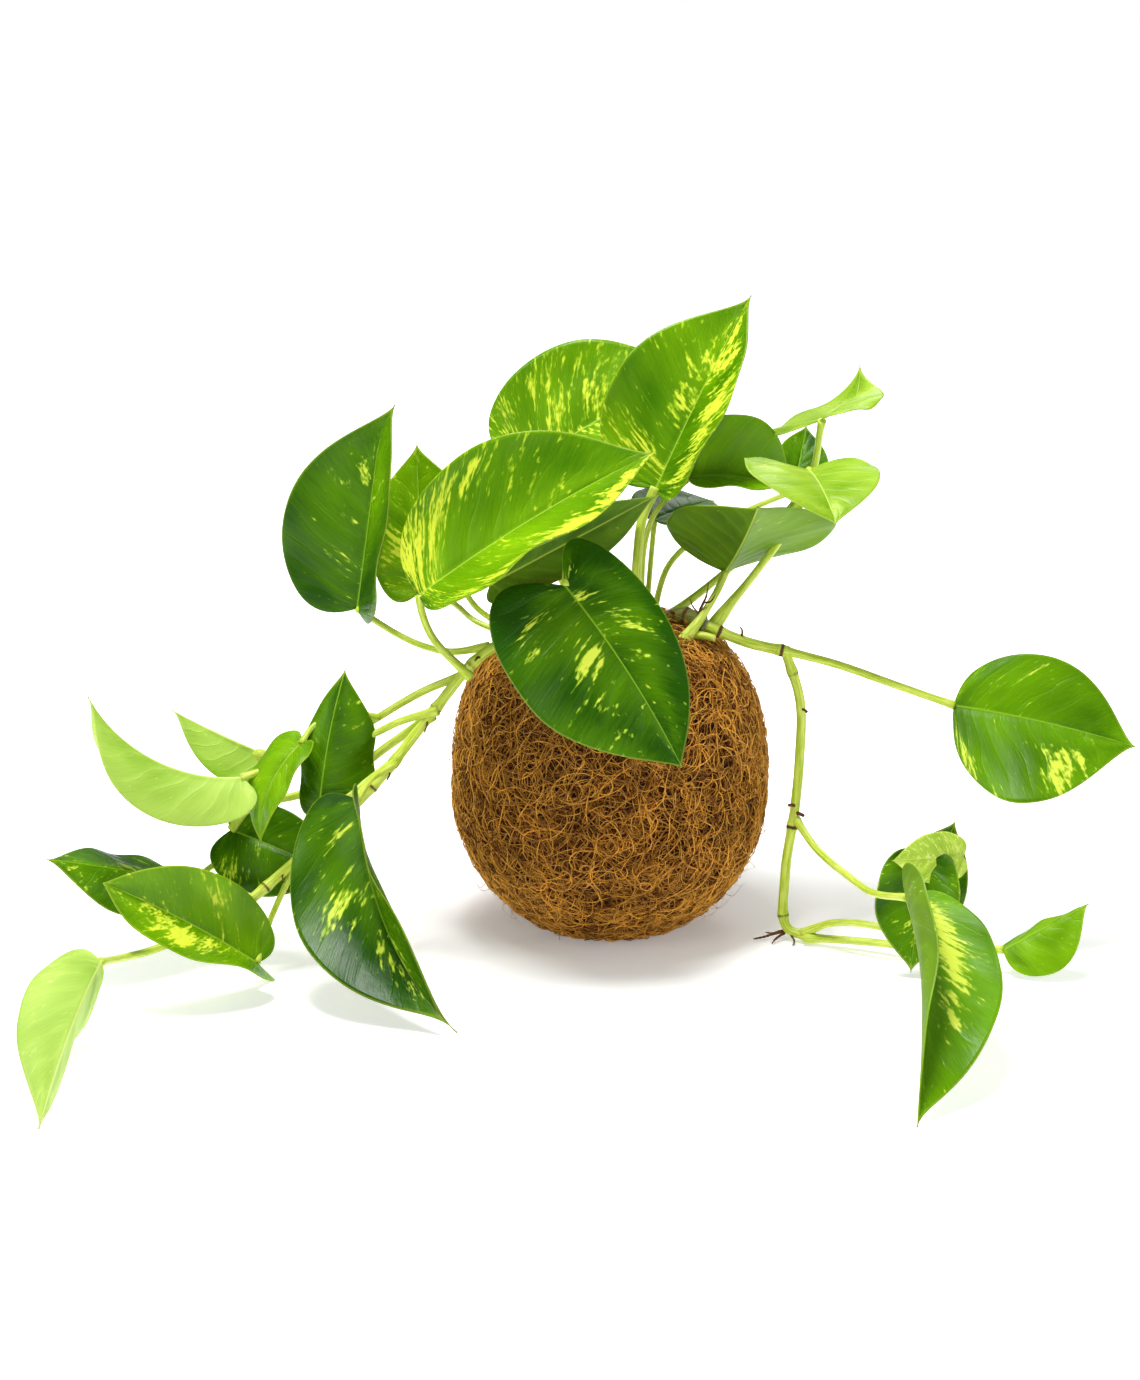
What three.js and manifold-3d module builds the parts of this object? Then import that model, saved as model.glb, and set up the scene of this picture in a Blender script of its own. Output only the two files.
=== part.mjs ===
// Pothos kokedama: a ball of soil wrapped in coir fibre, planted with a variegated
// golden pothos whose vines hang down on the left and on the right.
// Millimetres, +Z up. The origin is the middle of the flat spot that the ball stands on,
// and the front of the plant faces -Y.
import * as THREE from 'three';
import { mergeVertices } from 'three/addons/utils/BufferGeometryUtils.js';
import Module from 'manifold-3d';

const wasm = await Module();
wasm.setup();

// Driving dimensions
const gap = 0.3;               // clearance between touching pieces
const ballRadius = 70;
const footRadius = 30;         // flat spot under the ball
const shoulderHeight = 80;     // from the widest ring to where the shoulders would meet
const shoulderPower = 2.6;     // above 2 makes the shoulders fuller than a sphere's
const wrapThickness = 5;
const mouthRadius = 34;        // opening in the wrap, where the plant comes out
const soilCrown = 2;           // how far the soil domes up in the mouth
const leafThickness = 0.9;
const tipTaper = 2.5;          // how sharply a blade narrows towards its tip, unless it has its own taper
const earSweep = 1.25;         // how far the widest part of a blade sits back from its middle
const midribSweep = 1.6;       // the same for the midrib, which the side veins leave at a slant

// Steps of the curved surfaces
const leafRows = 12;           // from petiole to tip
const leafColumns = 12;        // around the thin blade
const tubeStep = 9;            // length of one straight bit of a bent stem
const vineSides = 8;
const petioleSides = 6;
const vineRadius = 2;          // stems thicker than this get the vine's sides
const ballSides = 36;
const lowerWallSteps = 6;
const upperWallSteps = 7;

const degree = Math.PI / 180;

const paints = {
  deepGreen: { color: 0x2f7d17, roughness: 0.3 },
  midGreen: { color: 0x5aa323, roughness: 0.3 },
  paleGreen: { color: 0x9fcb55, roughness: 0.45 },
  stem: { color: 0xa9c63a, roughness: 0.45 },
  rhizome: { color: 0x6f7a2c, roughness: 0.7 },
  coir: { color: 0x7a4a22, roughness: 0.95 },
  soil: { color: 0x2b1b10, roughness: 1 },
};

// Leaf blades. base is where the petiole joins. heading turns from +X towards +Y and rise is
// the midrib's slope there, in degrees; veer and droop are how far they turn by the tip.
// roll tips the face to the right-hand side as seen from the petiole, and twist adds to it by
// the tip. width, fold and curl are [left half, right half]: its breadth, its slope beside the
// midrib, and how much further it bends by the margin. lobe sets how far the ears reach back.
const blades = {
  leaf_front_cream: {
    base: [-83, -45, 162], length: 120, width: [40, 44], lobe: 0.02, paint: 'midGreen',
    heading: 4, rise: 37, droop: 12, roll: 40, fold: [18, 18], curl: [34, 34],
  },
  leaf_left_upright: {
    base: [-112, -12, 148], length: 92, width: [38, 36], lobe: 0.2, paint: 'deepGreen',
    heading: 29, rise: 81, droop: 0, roll: 21, fold: [20, 20], curl: [34, 34],
  },
  leaf_left_behind: {
    base: [-84, -4, 154], length: 66, width: [22, 28], lobe: 0.3, paint: 'midGreen',
    heading: 96, rise: 72, droop: 0, roll: -17, fold: [12, 12], curl: [10, 10],
  },
  leaf_top_back: {
    base: [-37, 40, 202], length: 90, width: [41, 38], lobe: 0.3, paint: 'midGreen',
    heading: 10, rise: 36, droop: 20, roll: 42, fold: [12, 12], curl: [10, 10],
  },
  leaf_top_cream: {
    base: [20, 0, 200], length: 94, width: [38, 28], lobe: 0.2, paint: 'midGreen',
    heading: 26, rise: 63, droop: 5, roll: 28, fold: [16, 16], curl: [32, 32],
  },
  leaf_shaded: {
    base: [-53, -10, 159], length: 84, width: [24, 13], lobe: 0.3, paint: 'deepGreen',
    heading: -2, rise: 29, droop: 0, roll: -70, fold: [15, 15], curl: [20, 20],
  },
  leaf_front_hanging: {
    base: [-20, -66, 171], length: 92, width: [27, 47], lobe: 0.55, taper: 1.7, paint: 'deepGreen',
    heading: -25, rise: -46, droop: 15, roll: 50, fold: [5, 5], curl: [10, 10],
  },
  leaf_right_bright: {
    base: [35, 8, 203], length: 53, width: [30, 27], lobe: 0.3, paint: 'midGreen',
    heading: 22, rise: 2, droop: 27, roll: 27, fold: [60, 25], curl: [31, 1],
  },
  leaf_right_twisted: {
    base: [92, 5, 229], length: 51, width: [32, 22], lobe: 0.3, paint: 'paleGreen',
    heading: 61, rise: 7, droop: 0, roll: -16, fold: [-2, 22], curl: [-4, -50],
  },
  leaf_right_saddle: {
    base: [87, -6, 209], length: 44, width: [27, 36], lobe: 0.3, paint: 'paleGreen',
    heading: -77, rise: -4, droop: 36, roll: -7, fold: [20, 6], curl: [-1, 8],
  },
  leaf_right_underside: {
    base: [51, 0, 162], length: 50, width: [50, 34], lobe: 0.3, paint: 'midGreen',
    heading: -69, rise: 39, droop: -15, roll: 2, fold: [18, 45], curl: [-23, -11],
  },
  leaf_crown_small: {
    base: [20, 25, 180], length: 45, width: [20, 20], lobe: 0.3, paint: 'deepGreen',
    heading: 51, rise: 7, droop: 10, roll: 11, fold: [10, 10], curl: [10, 10],
  },
  leaf_crown_inner: {
    base: [84, 47, 189], length: 34, width: [12, 14], lobe: 0.3, paint: 'deepGreen',
    heading: 72, rise: 51, droop: 0, roll: 29, fold: [10, 10], curl: [10, 10],
  },
  leaf_far_right: {
    base: [152, -20, 106], length: 82, width: [29, 43], lobe: -0.05, paint: 'deepGreen',
    heading: -13, rise: -5, droop: 10, roll: 56, fold: [8, 8], curl: [10, 10],
  },
  leaf_floor_back: {
    base: [136, -66, 49], length: 49, width: [20, 20], lobe: 0.3, paint: 'deepGreen',
    heading: -113, rise: -65, droop: 10, roll: -8, fold: [15, 15], curl: [20, 20],
  },
  leaf_floor_folded: {
    base: [133, -56, 13], length: 52, width: [24, 16], lobe: 0.2, paint: 'deepGreen',
    heading: 24, rise: 68, droop: 0, roll: 72, fold: [10, 10], curl: [20, 20],
  },
  leaf_floor_front: {
    base: [121, -135, 55], length: 129, width: [33, 22], lobe: 0.3, paint: 'deepGreen',
    heading: -84, rise: -15, droop: 20, veer: -18, roll: -52, fold: [25, 25], curl: [50, 50],
  },
  leaf_floor_speckled: {
    base: [170, -75, 11], length: 42, width: [9, 20], lobe: 0.1, paint: 'midGreen',
    heading: 0, rise: 30, droop: 0, roll: 49, fold: [-55, 0], curl: [0, -10],
  },
  leaf_left_pale: {
    base: [-160, -62, 85], length: 80, width: [42, 24], lobe: 0.3, taper: 3.2, paint: 'paleGreen',
    heading: 190, rise: -2, droop: -67, roll: 149, fold: [63, 10], curl: [-8, 37],
  },
  leaf_left_pale_back: {
    base: [-144, -27, 82], length: 55, width: [14, 18], lobe: 0.3, paint: 'paleGreen',
    heading: -174, rise: 22, droop: -10, roll: 131, fold: [70, 10], curl: [20, 20],
  },
  leaf_left_arched: {
    base: [-126, -68, 74], length: 61, width: [12, 27], lobe: 0.3, paint: 'deepGreen',
    heading: 66, rise: 76, droop: 20, veer: -3, roll: 36, fold: [-32, -12], curl: [-9, -35],
  },
  leaf_left_drooping: {
    base: [-134, -60, 100], length: 49, width: [11, 14], lobe: 0.3, paint: 'midGreen',
    heading: -148, rise: -33, droop: 62, roll: -9, fold: [8, 9], curl: [-25, -10],
  },
  leaf_left_shadow: {
    base: [-167, -45, 56], length: 54, width: [17, 26], lobe: 0.3, paint: 'deepGreen',
    heading: -17, rise: -14, droop: 10, roll: 51, fold: [8, 8], curl: [10, 10],
  },
  leaf_left_low: {
    base: [-184, -66, 38], length: 67, width: [22, 24], lobe: 0.3, paint: 'deepGreen',
    heading: -152, rise: 23, droop: 10, roll: -60, fold: [5, -55], curl: [0, 0],
  },
  leaf_left_spread: {
    base: [-152, -95, 12], length: 80, width: [25, 25], lobe: 0.3, taper: 1.4, paint: 'midGreen',
    heading: -157, rise: 39, droop: 10, roll: -30, twist: -45, fold: [15, 15], curl: [32, 32],
  },
  leaf_left_tip: {
    base: [-210, -155, 34], length: 109, width: [22, 24], lobe: 0.2, paint: 'paleGreen',
    heading: -96, rise: -4, droop: 25, roll: 121, fold: [30, 30], curl: [30, 30],
  },
  leaf_left_long: {
    base: [-109, -81, 81], length: 120, width: [23, 36], lobe: 0.2, taper: 5, paint: 'deepGreen',
    heading: -77, rise: -60, droop: -38, veer: 32, roll: 65, fold: [25, 25], curl: [36, 36],
  },
};

// Stems. Each route runs from the crown or vine outwards to the blade it carries.
const stems = {
  rhizome: { radius: 4, paint: 'rhizome', route: [[20, 6, 135], [30, -2, 142], [41, -9, 141]] },
  vine_left_upper: {
    radius: 2.3,
    route: [[-9, -15, 138], [-31, -32, 143], [-55, -44, 136], [-78, -48, 110], [-96, -56, 88]],
  },
  vine_left_lower: {
    radius: 2.2,
    route: [[-97, -57, 87], [-115, -64, 69], [-142, -74, 46], [-159, -84, 34], [-170, -89, 29]],
  },
  vine_right_crown: { radius: 2.4, route: [[45, -12, 139], [61, -14, 133], [76, -16, 130]] },
  vine_right_hanging: {
    radius: 2.2,
    route: [
      [78, -16, 127], [84, -18, 107], [84, -20, 81], [82, -24, 59], [78, -28, 30], [79, -31, 6], [88, -35, 4],
    ],
  },
  petiole_left_upright: {
    radius: 1.6,
    route: [[-56, -38, 137], [-70, -34, 134], [-82, -28, 135], [-95, -20, 139], [-112, -12, 148]],
  },
  petiole_front_cream: {
    radius: 1.8,
    route: [[-63, -47, 128], [-77, -47, 143], [-82, -46, 155], [-83, -45, 162]],
  },
  petiole_left_behind: {
    radius: 1.4,
    route: [[-40, -18, 136], [-60, -10, 142], [-68, -3, 147], [-77, -2, 153], [-84, -4, 154]],
  },
  petiole_shaded: {
    radius: 1.4,
    route: [[-45, -12, 138], [-60, -7, 148], [-64, -8, 156], [-60, -9, 160], [-53, -10, 159]],
  },
  petiole_top_back: { radius: 1.8, route: [[-12, 14, 134], [-27, 30, 165], [-37, 40, 202]] },
  petiole_top_cream: { radius: 2.4, route: [[10, -10, 134], [12, -6, 172], [14, -3, 187], [20, 0, 200]] },
  petiole_front_hanging: {
    radius: 1.6,
    route: [[-12, -14, 134], [-16, -34, 172], [-19, -52, 182], [-20, -66, 171]],
  },
  petiole_right_bright: { radius: 1.4, route: [[14, 4, 134], [15, 8, 171], [20, 9, 187], [35, 8, 203]] },
  petiole_right_twisted: {
    radius: 1.8,
    route: [[22, 16, 134], [58, 30, 160], [88, 24, 196], [93, 5, 229]],
  },
  petiole_right_saddle: {
    radius: 1.8,
    route: [[47, -8, 141], [53, -7, 149], [63, -1, 160], [80, 7, 182], [87, 4, 200], [87, -6, 209]],
  },
  petiole_right_underside: {
    radius: 1.8,
    route: [[31, -19, 134], [38, -15, 142], [44, -10, 150], [48, -5, 156], [51, 0, 162]],
  },
  petiole_crown_small: { radius: 1.3, route: [[16, 14, 134], [18, 20, 158], [20, 25, 180]] },
  petiole_crown_inner: {
    radius: 1.4,
    route: [[19, 8, 138], [26, 11, 162], [40, 15, 175], [60, 36, 181], [84, 47, 189]],
  },
  petiole_far_right: {
    radius: 1.9,
    route: [[76, -16, 130], [88, -16, 127], [102, -16, 123], [128, -18, 114], [152, -20, 106]],
  },
  petiole_floor_front: {
    radius: 1.7,
    route: [[83, -25, 54], [90, -50, 49], [101, -85, 48], [110, -115, 50], [121, -135, 55]],
  },
  petiole_floor_back: {
    radius: 1.7,
    route: [[88, -36, 6], [97, -43, 12], [108, -51, 15], [120, -57, 15], [133, -56, 13]],
  },
  petiole_floor_speckled: {
    radius: 1.8,
    route: [[89, -38, 3.5], [103, -42, 4], [118, -49, 5], [135, -58, 6], [170, -75, 11]],
  },
  petiole_left_pale: {
    radius: 1.7,
    route: [[-78, -50, 111], [-92, -47, 106], [-104, -46, 100], [-127, -52, 94], [-160, -62, 85]],
  },
  petiole_left_pale_back: {
    radius: 1.8,
    route: [[-64, -43, 126], [-83, -39, 117], [-105, -36, 103], [-123, -31, 91], [-144, -27, 82]],
  },
  petiole_left_shadow: {
    radius: 2,
    route: [
      [-80, -46, 107], [-98, -41, 93], [-115, -40, 80], [-137, -41, 71], [-158, -43, 66], [-167, -45, 56],
    ],
  },
  petiole_left_arched: {
    radius: 1.5,
    route: [[-97, -54, 88], [-106, -61, 83], [-115, -67, 77], [-126, -68, 74]],
  },
  petiole_left_drooping: {
    radius: 1.3,
    route: [[-104, -39, 106], [-118, -46, 110], [-129, -54, 106], [-134, -60, 100]],
  },
  petiole_left_low: {
    radius: 1.5,
    route: [[-117, -60, 67], [-135, -38, 56], [-160, -33, 47], [-184, -66, 38]],
  },
  petiole_left_spread: {
    radius: 1.4,
    route: [[-136, -72, 50], [-147, -79, 27], [-151, -88, 16], [-152, -95, 12]],
  },
  petiole_left_long: { radius: 1.7, route: [[-96, -59, 89], [-104, -69, 86], [-109, -81, 81]] },
  petiole_left_tip: {
    radius: 1.8,
    route: [[-171, -90, 28], [-181, -94, 24], [-195, -110, 23], [-204, -130, 27], [-210, -155, 34]],
  },
};

// ------------------------------------------------------------------ solids

function toSolid(geometry) {
  geometry.deleteAttribute('normal');
  geometry.deleteAttribute('uv');
  const merged = mergeVertices(geometry, 1e-4);
  return new wasm.Manifold(new wasm.Mesh({
    numProp: 3,
    vertProperties: Float32Array.from(merged.attributes.position.array),
    triVerts: Uint32Array.from(merged.index.array),
  }));
}

function toGeometry(solid) {
  const { vertProperties, triVerts } = solid.getMesh();
  const geometry = new THREE.BufferGeometry();
  geometry.setAttribute('position', new THREE.BufferAttribute(vertProperties, 3));
  geometry.setIndex(new THREE.BufferAttribute(triVerts, 1));
  geometry.computeVertexNormals();
  return geometry;
}

// Cuts a piece back from its neighbours and keeps its largest part.
function carve(solid, cutters) {
  const cut = cutters.reduce((rest, cutter) => rest.subtract(cutter), solid);
  const parts = cut.decompose().sort((a, b) => b.volume() - a.volume());
  return parts[0];
}

// Integral of wave(start + change * t) for t from 0 to end.
function sweep(wave, start, change, end) {
  const half = change * end / 2;
  const spread = Math.abs(half) < 1e-6 ? 1 : Math.sin(half) / half;
  return end * wave(start + half) * spread;
}

// The midrib is an arc whose heading and slope change steadily. Behind the petiole it runs
// straight back, which carries the ears of the heart shape.
function midrib(blade, along) {
  const end = Math.max(along, 0);
  const turn = (blade.veer ?? 0) * degree;
  const dip = -blade.droop * degree;
  const heading = blade.heading * degree;
  const rise = blade.rise * degree;
  const sum = (wave) => sweep(wave, heading + rise, turn + dip, end);
  const difference = (wave) => sweep(wave, heading - rise, turn - dip, end);
  const point = new THREE.Vector3(
    (sum(Math.cos) + difference(Math.cos)) / 2,
    (sum(Math.sin) + difference(Math.sin)) / 2,
    sweep(Math.sin, rise, dip, end),
  ).multiplyScalar(blade.length).add(new THREE.Vector3(...blade.base));
  const bearing = heading + turn * end;
  const slope = rise + dip * end;
  const forward = new THREE.Vector3(
    Math.cos(slope) * Math.cos(bearing), Math.cos(slope) * Math.sin(bearing), Math.sin(slope));
  const side = new THREE.Vector3(Math.sin(bearing), -Math.cos(bearing), 0);
  const face = side.clone().cross(forward);
  const roll = (blade.roll + (blade.twist ?? 0) * end) * degree;
  side.applyAxisAngle(forward, roll);
  face.applyAxisAngle(forward, roll);
  point.addScaledVector(forward, Math.min(along, 0) * blade.length);
  return { point, side, face };
}

// A heart-shaped blade, bent from a flattened sphere whose poles become its base and tip.
function bladeGeometry(blade, thickness) {
  const geometry = new THREE.SphereGeometry(1, leafColumns, leafRows);
  const position = geometry.attributes.position;
  for (let i = 0; i < position.count; i += 1) {
    const angle = Math.acos(THREE.MathUtils.clamp(-position.getY(i), -1, 1));
    const ring = Math.max(Math.sin(angle), 1e-9);
    const across = position.getX(i) / ring;
    const lift = position.getZ(i) / ring;
    const part = angle / Math.PI;
    const ahead = (1 - Math.cos(angle)) / 2;
    const reach = ring ** (1 + (blade.taper ?? tipTaper) * part ** 2);
    const margin = ahead ** earSweep - blade.lobe * ring * (1 - part) ** 2;
    const vein = ahead ** midribSweep;
    const along = vein + (margin - vein) * Math.abs(across) ** earSweep;
    const half = across < 0 ? 0 : 1;
    const breadth = Math.abs(across) * reach;
    const fold = blade.fold[half] * degree;
    const curl = blade.curl[half] * degree;
    const out = blade.width[half] * sweep(Math.cos, fold, curl, breadth);
    const up = blade.width[half] * sweep(Math.sin, fold, curl, breadth);
    const slope = fold + curl * breadth;
    const { point, side, face } = midrib(blade, along);
    const hand = across < 0 ? -1 : 1;
    const skin = lift * thickness / 2;
    point.addScaledVector(side, hand * (out - skin * Math.sin(slope)));
    point.addScaledVector(face, up + skin * Math.cos(slope));
    position.setXYZ(i, point.x, point.y, point.z);
  }
  return geometry;
}

function tubeGeometry(route, radius, sides) {
  const path = new THREE.CatmullRomCurve3(route.map((p) => new THREE.Vector3(...p)));
  const circle = new THREE.Shape();
  for (let i = 0; i < sides; i += 1) {
    const angle = 2 * Math.PI * i / sides;
    const x = radius * Math.cos(angle);
    const y = radius * Math.sin(angle);
    i === 0 ? circle.moveTo(x, y) : circle.lineTo(x, y);
  }
  const steps = Math.max(3, Math.ceil(path.getLength() / tubeStep));
  return new THREE.ExtrudeGeometry(circle, { steps, extrudePath: path, bevelEnabled: false });
}

// The ball's wall from its foot up to the mouth, moved inwards by inset.
function wallPoints(inset) {
  const centre = Math.sqrt(ballRadius ** 2 - footRadius ** 2);
  const radius = ballRadius - inset;
  const lowest = Math.asin((inset - centre) / radius);
  const highest = Math.acos((mouthRadius / radius) ** (shoulderPower / 2));
  const points = [];
  for (let i = 0; i <= lowerWallSteps; i += 1) {
    const angle = lowest * (1 - i / lowerWallSteps);
    points.push(new THREE.Vector2(radius * Math.cos(angle), centre + radius * Math.sin(angle)));
  }
  for (let i = 1; i <= upperWallSteps; i += 1) {
    const angle = highest * i / upperWallSteps;
    const out = Math.cos(angle) ** (2 / shoulderPower);
    const up = Math.sin(angle) ** (2 / shoulderPower);
    points.push(new THREE.Vector2(radius * out, centre + (shoulderHeight - inset) * up));
  }
  return points;
}

function latheSolid(points) {
  const geometry = new THREE.LatheGeometry(points, ballSides);
  geometry.rotateX(Math.PI / 2);
  return toSolid(geometry);
}

function wrapSolid() {
  const outer = wallPoints(0);
  const inner = wallPoints(wrapThickness).reverse();
  const bottom = new THREE.Vector2(0, 0);
  const lining = new THREE.Vector2(0, wrapThickness);
  return latheSolid([bottom, ...outer, ...inner, lining]);
}

function soilSolid() {
  const inset = wrapThickness + gap;
  const wall = wallPoints(inset);
  const top = new THREE.Vector2(0, wall.at(-1).y + soilCrown);
  return latheSolid([new THREE.Vector2(0, inset), ...wall, top]);
}

// ---------------------------------------------------------------- assembly

const group = new THREE.Group();

function add(name, solid, paint) {
  const material = new THREE.MeshStandardMaterial({ ...paints[paint], metalness: 0 });
  const mesh = new THREE.Mesh(toGeometry(solid), material);
  mesh.name = name;
  group.add(mesh);
}

const bladeCutters = [];
for (const [name, blade] of Object.entries(blades)) {
  add(name, toSolid(bladeGeometry(blade, leafThickness)), blade.paint);
  bladeCutters.push(toSolid(bladeGeometry(blade, leafThickness + 2 * gap)));
}

const stemCutters = [];
for (const [name, stem] of Object.entries(stems)) {
  const sides = stem.radius > vineRadius ? vineSides : petioleSides;
  const solid = toSolid(tubeGeometry(stem.route, stem.radius, sides));
  add(name, carve(solid, [...stemCutters, ...bladeCutters]), stem.paint ?? 'stem');
  stemCutters.push(toSolid(tubeGeometry(stem.route, stem.radius + gap, sides)));
}

add('coir_wrap', carve(wrapSolid(), stemCutters), 'coir');
add('soil_core', carve(soilSolid(), stemCutters), 'soil');

export default group;
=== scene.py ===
import math

import bmesh
import bpy
import numpy as np
from mathutils import Matrix, Vector, noise


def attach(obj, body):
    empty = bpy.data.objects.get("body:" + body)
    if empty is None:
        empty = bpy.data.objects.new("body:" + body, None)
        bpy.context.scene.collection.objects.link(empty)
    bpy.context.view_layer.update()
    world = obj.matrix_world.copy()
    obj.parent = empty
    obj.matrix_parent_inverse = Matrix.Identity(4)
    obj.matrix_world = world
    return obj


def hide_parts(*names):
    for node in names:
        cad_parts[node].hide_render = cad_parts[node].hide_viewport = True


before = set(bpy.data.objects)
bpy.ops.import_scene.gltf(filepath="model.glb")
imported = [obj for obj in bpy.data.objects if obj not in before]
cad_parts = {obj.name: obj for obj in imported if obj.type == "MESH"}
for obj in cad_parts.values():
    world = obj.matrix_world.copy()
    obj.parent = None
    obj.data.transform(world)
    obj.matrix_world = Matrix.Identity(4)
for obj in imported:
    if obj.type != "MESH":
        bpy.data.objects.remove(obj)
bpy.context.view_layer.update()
mm = 0.001
scene = bpy.context.scene
print("frame loaded,", len(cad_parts), "nodes")


# Camera, floor and light

studio = {
    "target": (-0.018, 0.0, 0.1076), "distance": 1.5, "elevation": 15, "lens": 87.3,
    "floorSize": 12, "floorTone": 0.9, "floorGlow": (-0.2, 0.55), "backdrop": 1.0, "surround": 0.2,
}
lamps = {
    "overhead": {"place": (-0.2, -0.1, 1.4), "size": 0.45, "power": 21, "aim": (0, 0, 0.1)},
    "leftFront": {"place": (-1.2, -1.0, 0.8), "size": 0.6, "power": 4, "aim": (0, 0, 0.1)},
    "rightFront": {"place": (1.2, -0.8, 0.7), "size": 0.6, "power": 2.5, "aim": (0, 0, 0.1)},
    "behind": {"place": (0.3, 1.1, 0.9), "size": 0.6, "power": 4, "aim": (0, 0, 0.1)},
}


def lookAt(thing, place, target):
    thing.location = place
    thing.rotation_euler = (Vector(target) - Vector(place)).to_track_quat("-Z", "Y").to_euler()


def makeStudio():
    tilt = math.radians(studio["elevation"])
    target = Vector(studio["target"])
    camera = bpy.data.objects.new("camera", bpy.data.cameras.new("camera"))
    camera.data.lens = studio["lens"]
    camera.data.clip_end = 50
    lookAt(camera, target + studio["distance"] * Vector((0, -math.cos(tilt), math.sin(tilt))), target)
    scene.collection.objects.link(camera)
    scene.camera = camera
    for name, lamp in lamps.items():
        light = bpy.data.objects.new(name, bpy.data.lights.new(name, "AREA"))
        light.data.size = lamp["size"]
        light.data.energy = lamp["power"]
        lookAt(light, lamp["place"], lamp["aim"])
        scene.collection.objects.link(light)
    bm = bmesh.new()
    bmesh.ops.create_grid(bm, x_segments=1, y_segments=1, size=studio["floorSize"] / 2)
    mesh = bpy.data.meshes.new("studioFloor")
    bm.to_mesh(mesh)
    bm.free()
    floor = bpy.data.objects.new("studioFloor", mesh)
    scene.collection.objects.link(floor)
    paper = newMaterial("floorPaper")
    tone = studio["floorTone"]
    where = place(paper.node_tree, "ShaderNodeTexCoord").outputs["Object"]
    far = place(paper.node_tree, "ShaderNodeVectorMath", {0: where}, operation="LENGTH").outputs["Value"]
    principled(paper, {
        "Base Color": (tone, tone, tone, 1), "Roughness": 0.9, "Specular IOR Level": 0.1,
        "Emission Color": (1, 1, 1, 1), "Emission Strength": step(paper.node_tree, far, *studio["floorGlow"]),
    })
    mesh.materials.append(paper)
    world = bpy.data.worlds.new("studioLight")
    world.use_nodes = True
    tree = world.node_tree
    path = tree.nodes.new("ShaderNodeLightPath")
    back = tree.nodes["Background"]
    strength = tree.nodes.new("ShaderNodeMapRange")
    tree.links.new(path.outputs["Is Camera Ray"], strength.inputs["Value"])
    strength.inputs["To Min"].default_value = studio["surround"]
    strength.inputs["To Max"].default_value = studio["backdrop"]
    tree.links.new(strength.outputs[0], back.inputs["Strength"])
    back.inputs["Color"].default_value = (1, 1, 1, 1)
    scene.world = world
    scene.view_settings.view_transform = "Standard"


# Shader helpers

def paint(red, green, blue):
    # a screen colour of 0 to 255, as light
    return tuple(((value / 255 + 0.055) / 1.055) ** 2.4 if value > 10 else value / 3295
                 for value in (red, green, blue)) + (1,)


def plug(tree, socket, value):
    if isinstance(value, bpy.types.NodeSocket):
        tree.links.new(value, socket)
    else:
        socket.default_value = value


def place(tree, kind, wires=None, **settings):
    node = tree.nodes.new(kind)
    for key, value in settings.items():
        setattr(node, key, value)
    for key, value in (wires or {}).items():
        plug(tree, node.inputs[key], value)
    return node


def maths(tree, operation, first, second=0.0, third=0.0, clamp=False):
    wires = {0: first, 1: second, 2: third}
    return place(tree, "ShaderNodeMath", wires, operation=operation, use_clamp=clamp).outputs[0]


def weighted(tree, total, *pairs):
    # total plus each value times its share
    for value, share in pairs:
        total = maths(tree, "MULTIPLY_ADD", value, share, total)
    return total


def step(tree, value, low, high, fromValue=0.0, toValue=1.0):
    wires = {"Value": value, "From Min": low, "From Max": high, "To Min": fromValue, "To Max": toValue}
    return place(tree, "ShaderNodeMapRange", wires, interpolation_type="SMOOTHSTEP").outputs[0]


def blend(tree, factor, first, second):
    return place(tree, "ShaderNodeMix", {0: factor, 6: first, 7: second}, data_type="RGBA").outputs[2]


def scaled(tree, vector, factors):
    return place(tree, "ShaderNodeVectorMath", {0: vector, 1: factors}, operation="MULTIPLY").outputs[0]


def cloud(tree, vector, factors, detail=1.0, roughness=0.5, distortion=0.0):
    wires = {
        "Vector": scaled(tree, vector, factors), "Scale": 1.0, "Detail": detail, "Roughness": roughness,
        "Distortion": distortion,
    }
    return place(tree, "ShaderNodeTexNoise", wires).outputs["Fac"]


def split(tree, vector):
    return place(tree, "ShaderNodeSeparateXYZ", {0: vector}).outputs


def reading(tree, name, output="Fac"):
    return place(tree, "ShaderNodeAttribute", attribute_name=name).outputs[output]


def newGroup(name, inputs, outputs):
    group = bpy.data.node_groups.new(name, "ShaderNodeTree")
    for label, value in inputs.items():
        kind = "NodeSocketColor" if isinstance(value, tuple) else "NodeSocketFloat"
        group.interface.new_socket(label, in_out="INPUT", socket_type=kind).default_value = value
    for label, kind in outputs.items():
        group.interface.new_socket(label, in_out="OUTPUT", socket_type=kind)
    return group, group.nodes.new("NodeGroupInput").outputs, group.nodes.new("NodeGroupOutput").inputs


def newMaterial(name):
    material = bpy.data.materials.new(name)
    material.use_nodes = True
    return material


def principled(material, values, height=None, bumpDistance=mm, bumpStrength=1.0):
    tree = material.node_tree
    shader = tree.nodes["Principled BSDF"]
    for key, value in values.items():
        plug(tree, shader.inputs[key], value)
    if height is not None:
        wires = {"Height": height, "Distance": bumpDistance, "Strength": bumpStrength}
        plug(tree, shader.inputs["Normal"], place(tree, "ShaderNodeBump", wires).outputs[0])


def finishGroup(group, result, colour, roughness, height):
    for label, value in zip(skinOutputs, (colour, roughness, height)):
        group.links.new(value, result[label])
    return group


def useGroup(material, group, values):
    node = place(material.node_tree, "ShaderNodeGroup", node_tree=group)
    for key, value in values.items():
        node.inputs[key].default_value = value
    return node.outputs


# Leaf skin. The blade's vein attribute holds how far ahead and how far across a spot is, and the
# leaf's own seed; its gauge holds the millimetres to the midrib and to the margin, and the shade,
# with the painted light and painted shade of the leaf's light spots added in.

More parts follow.
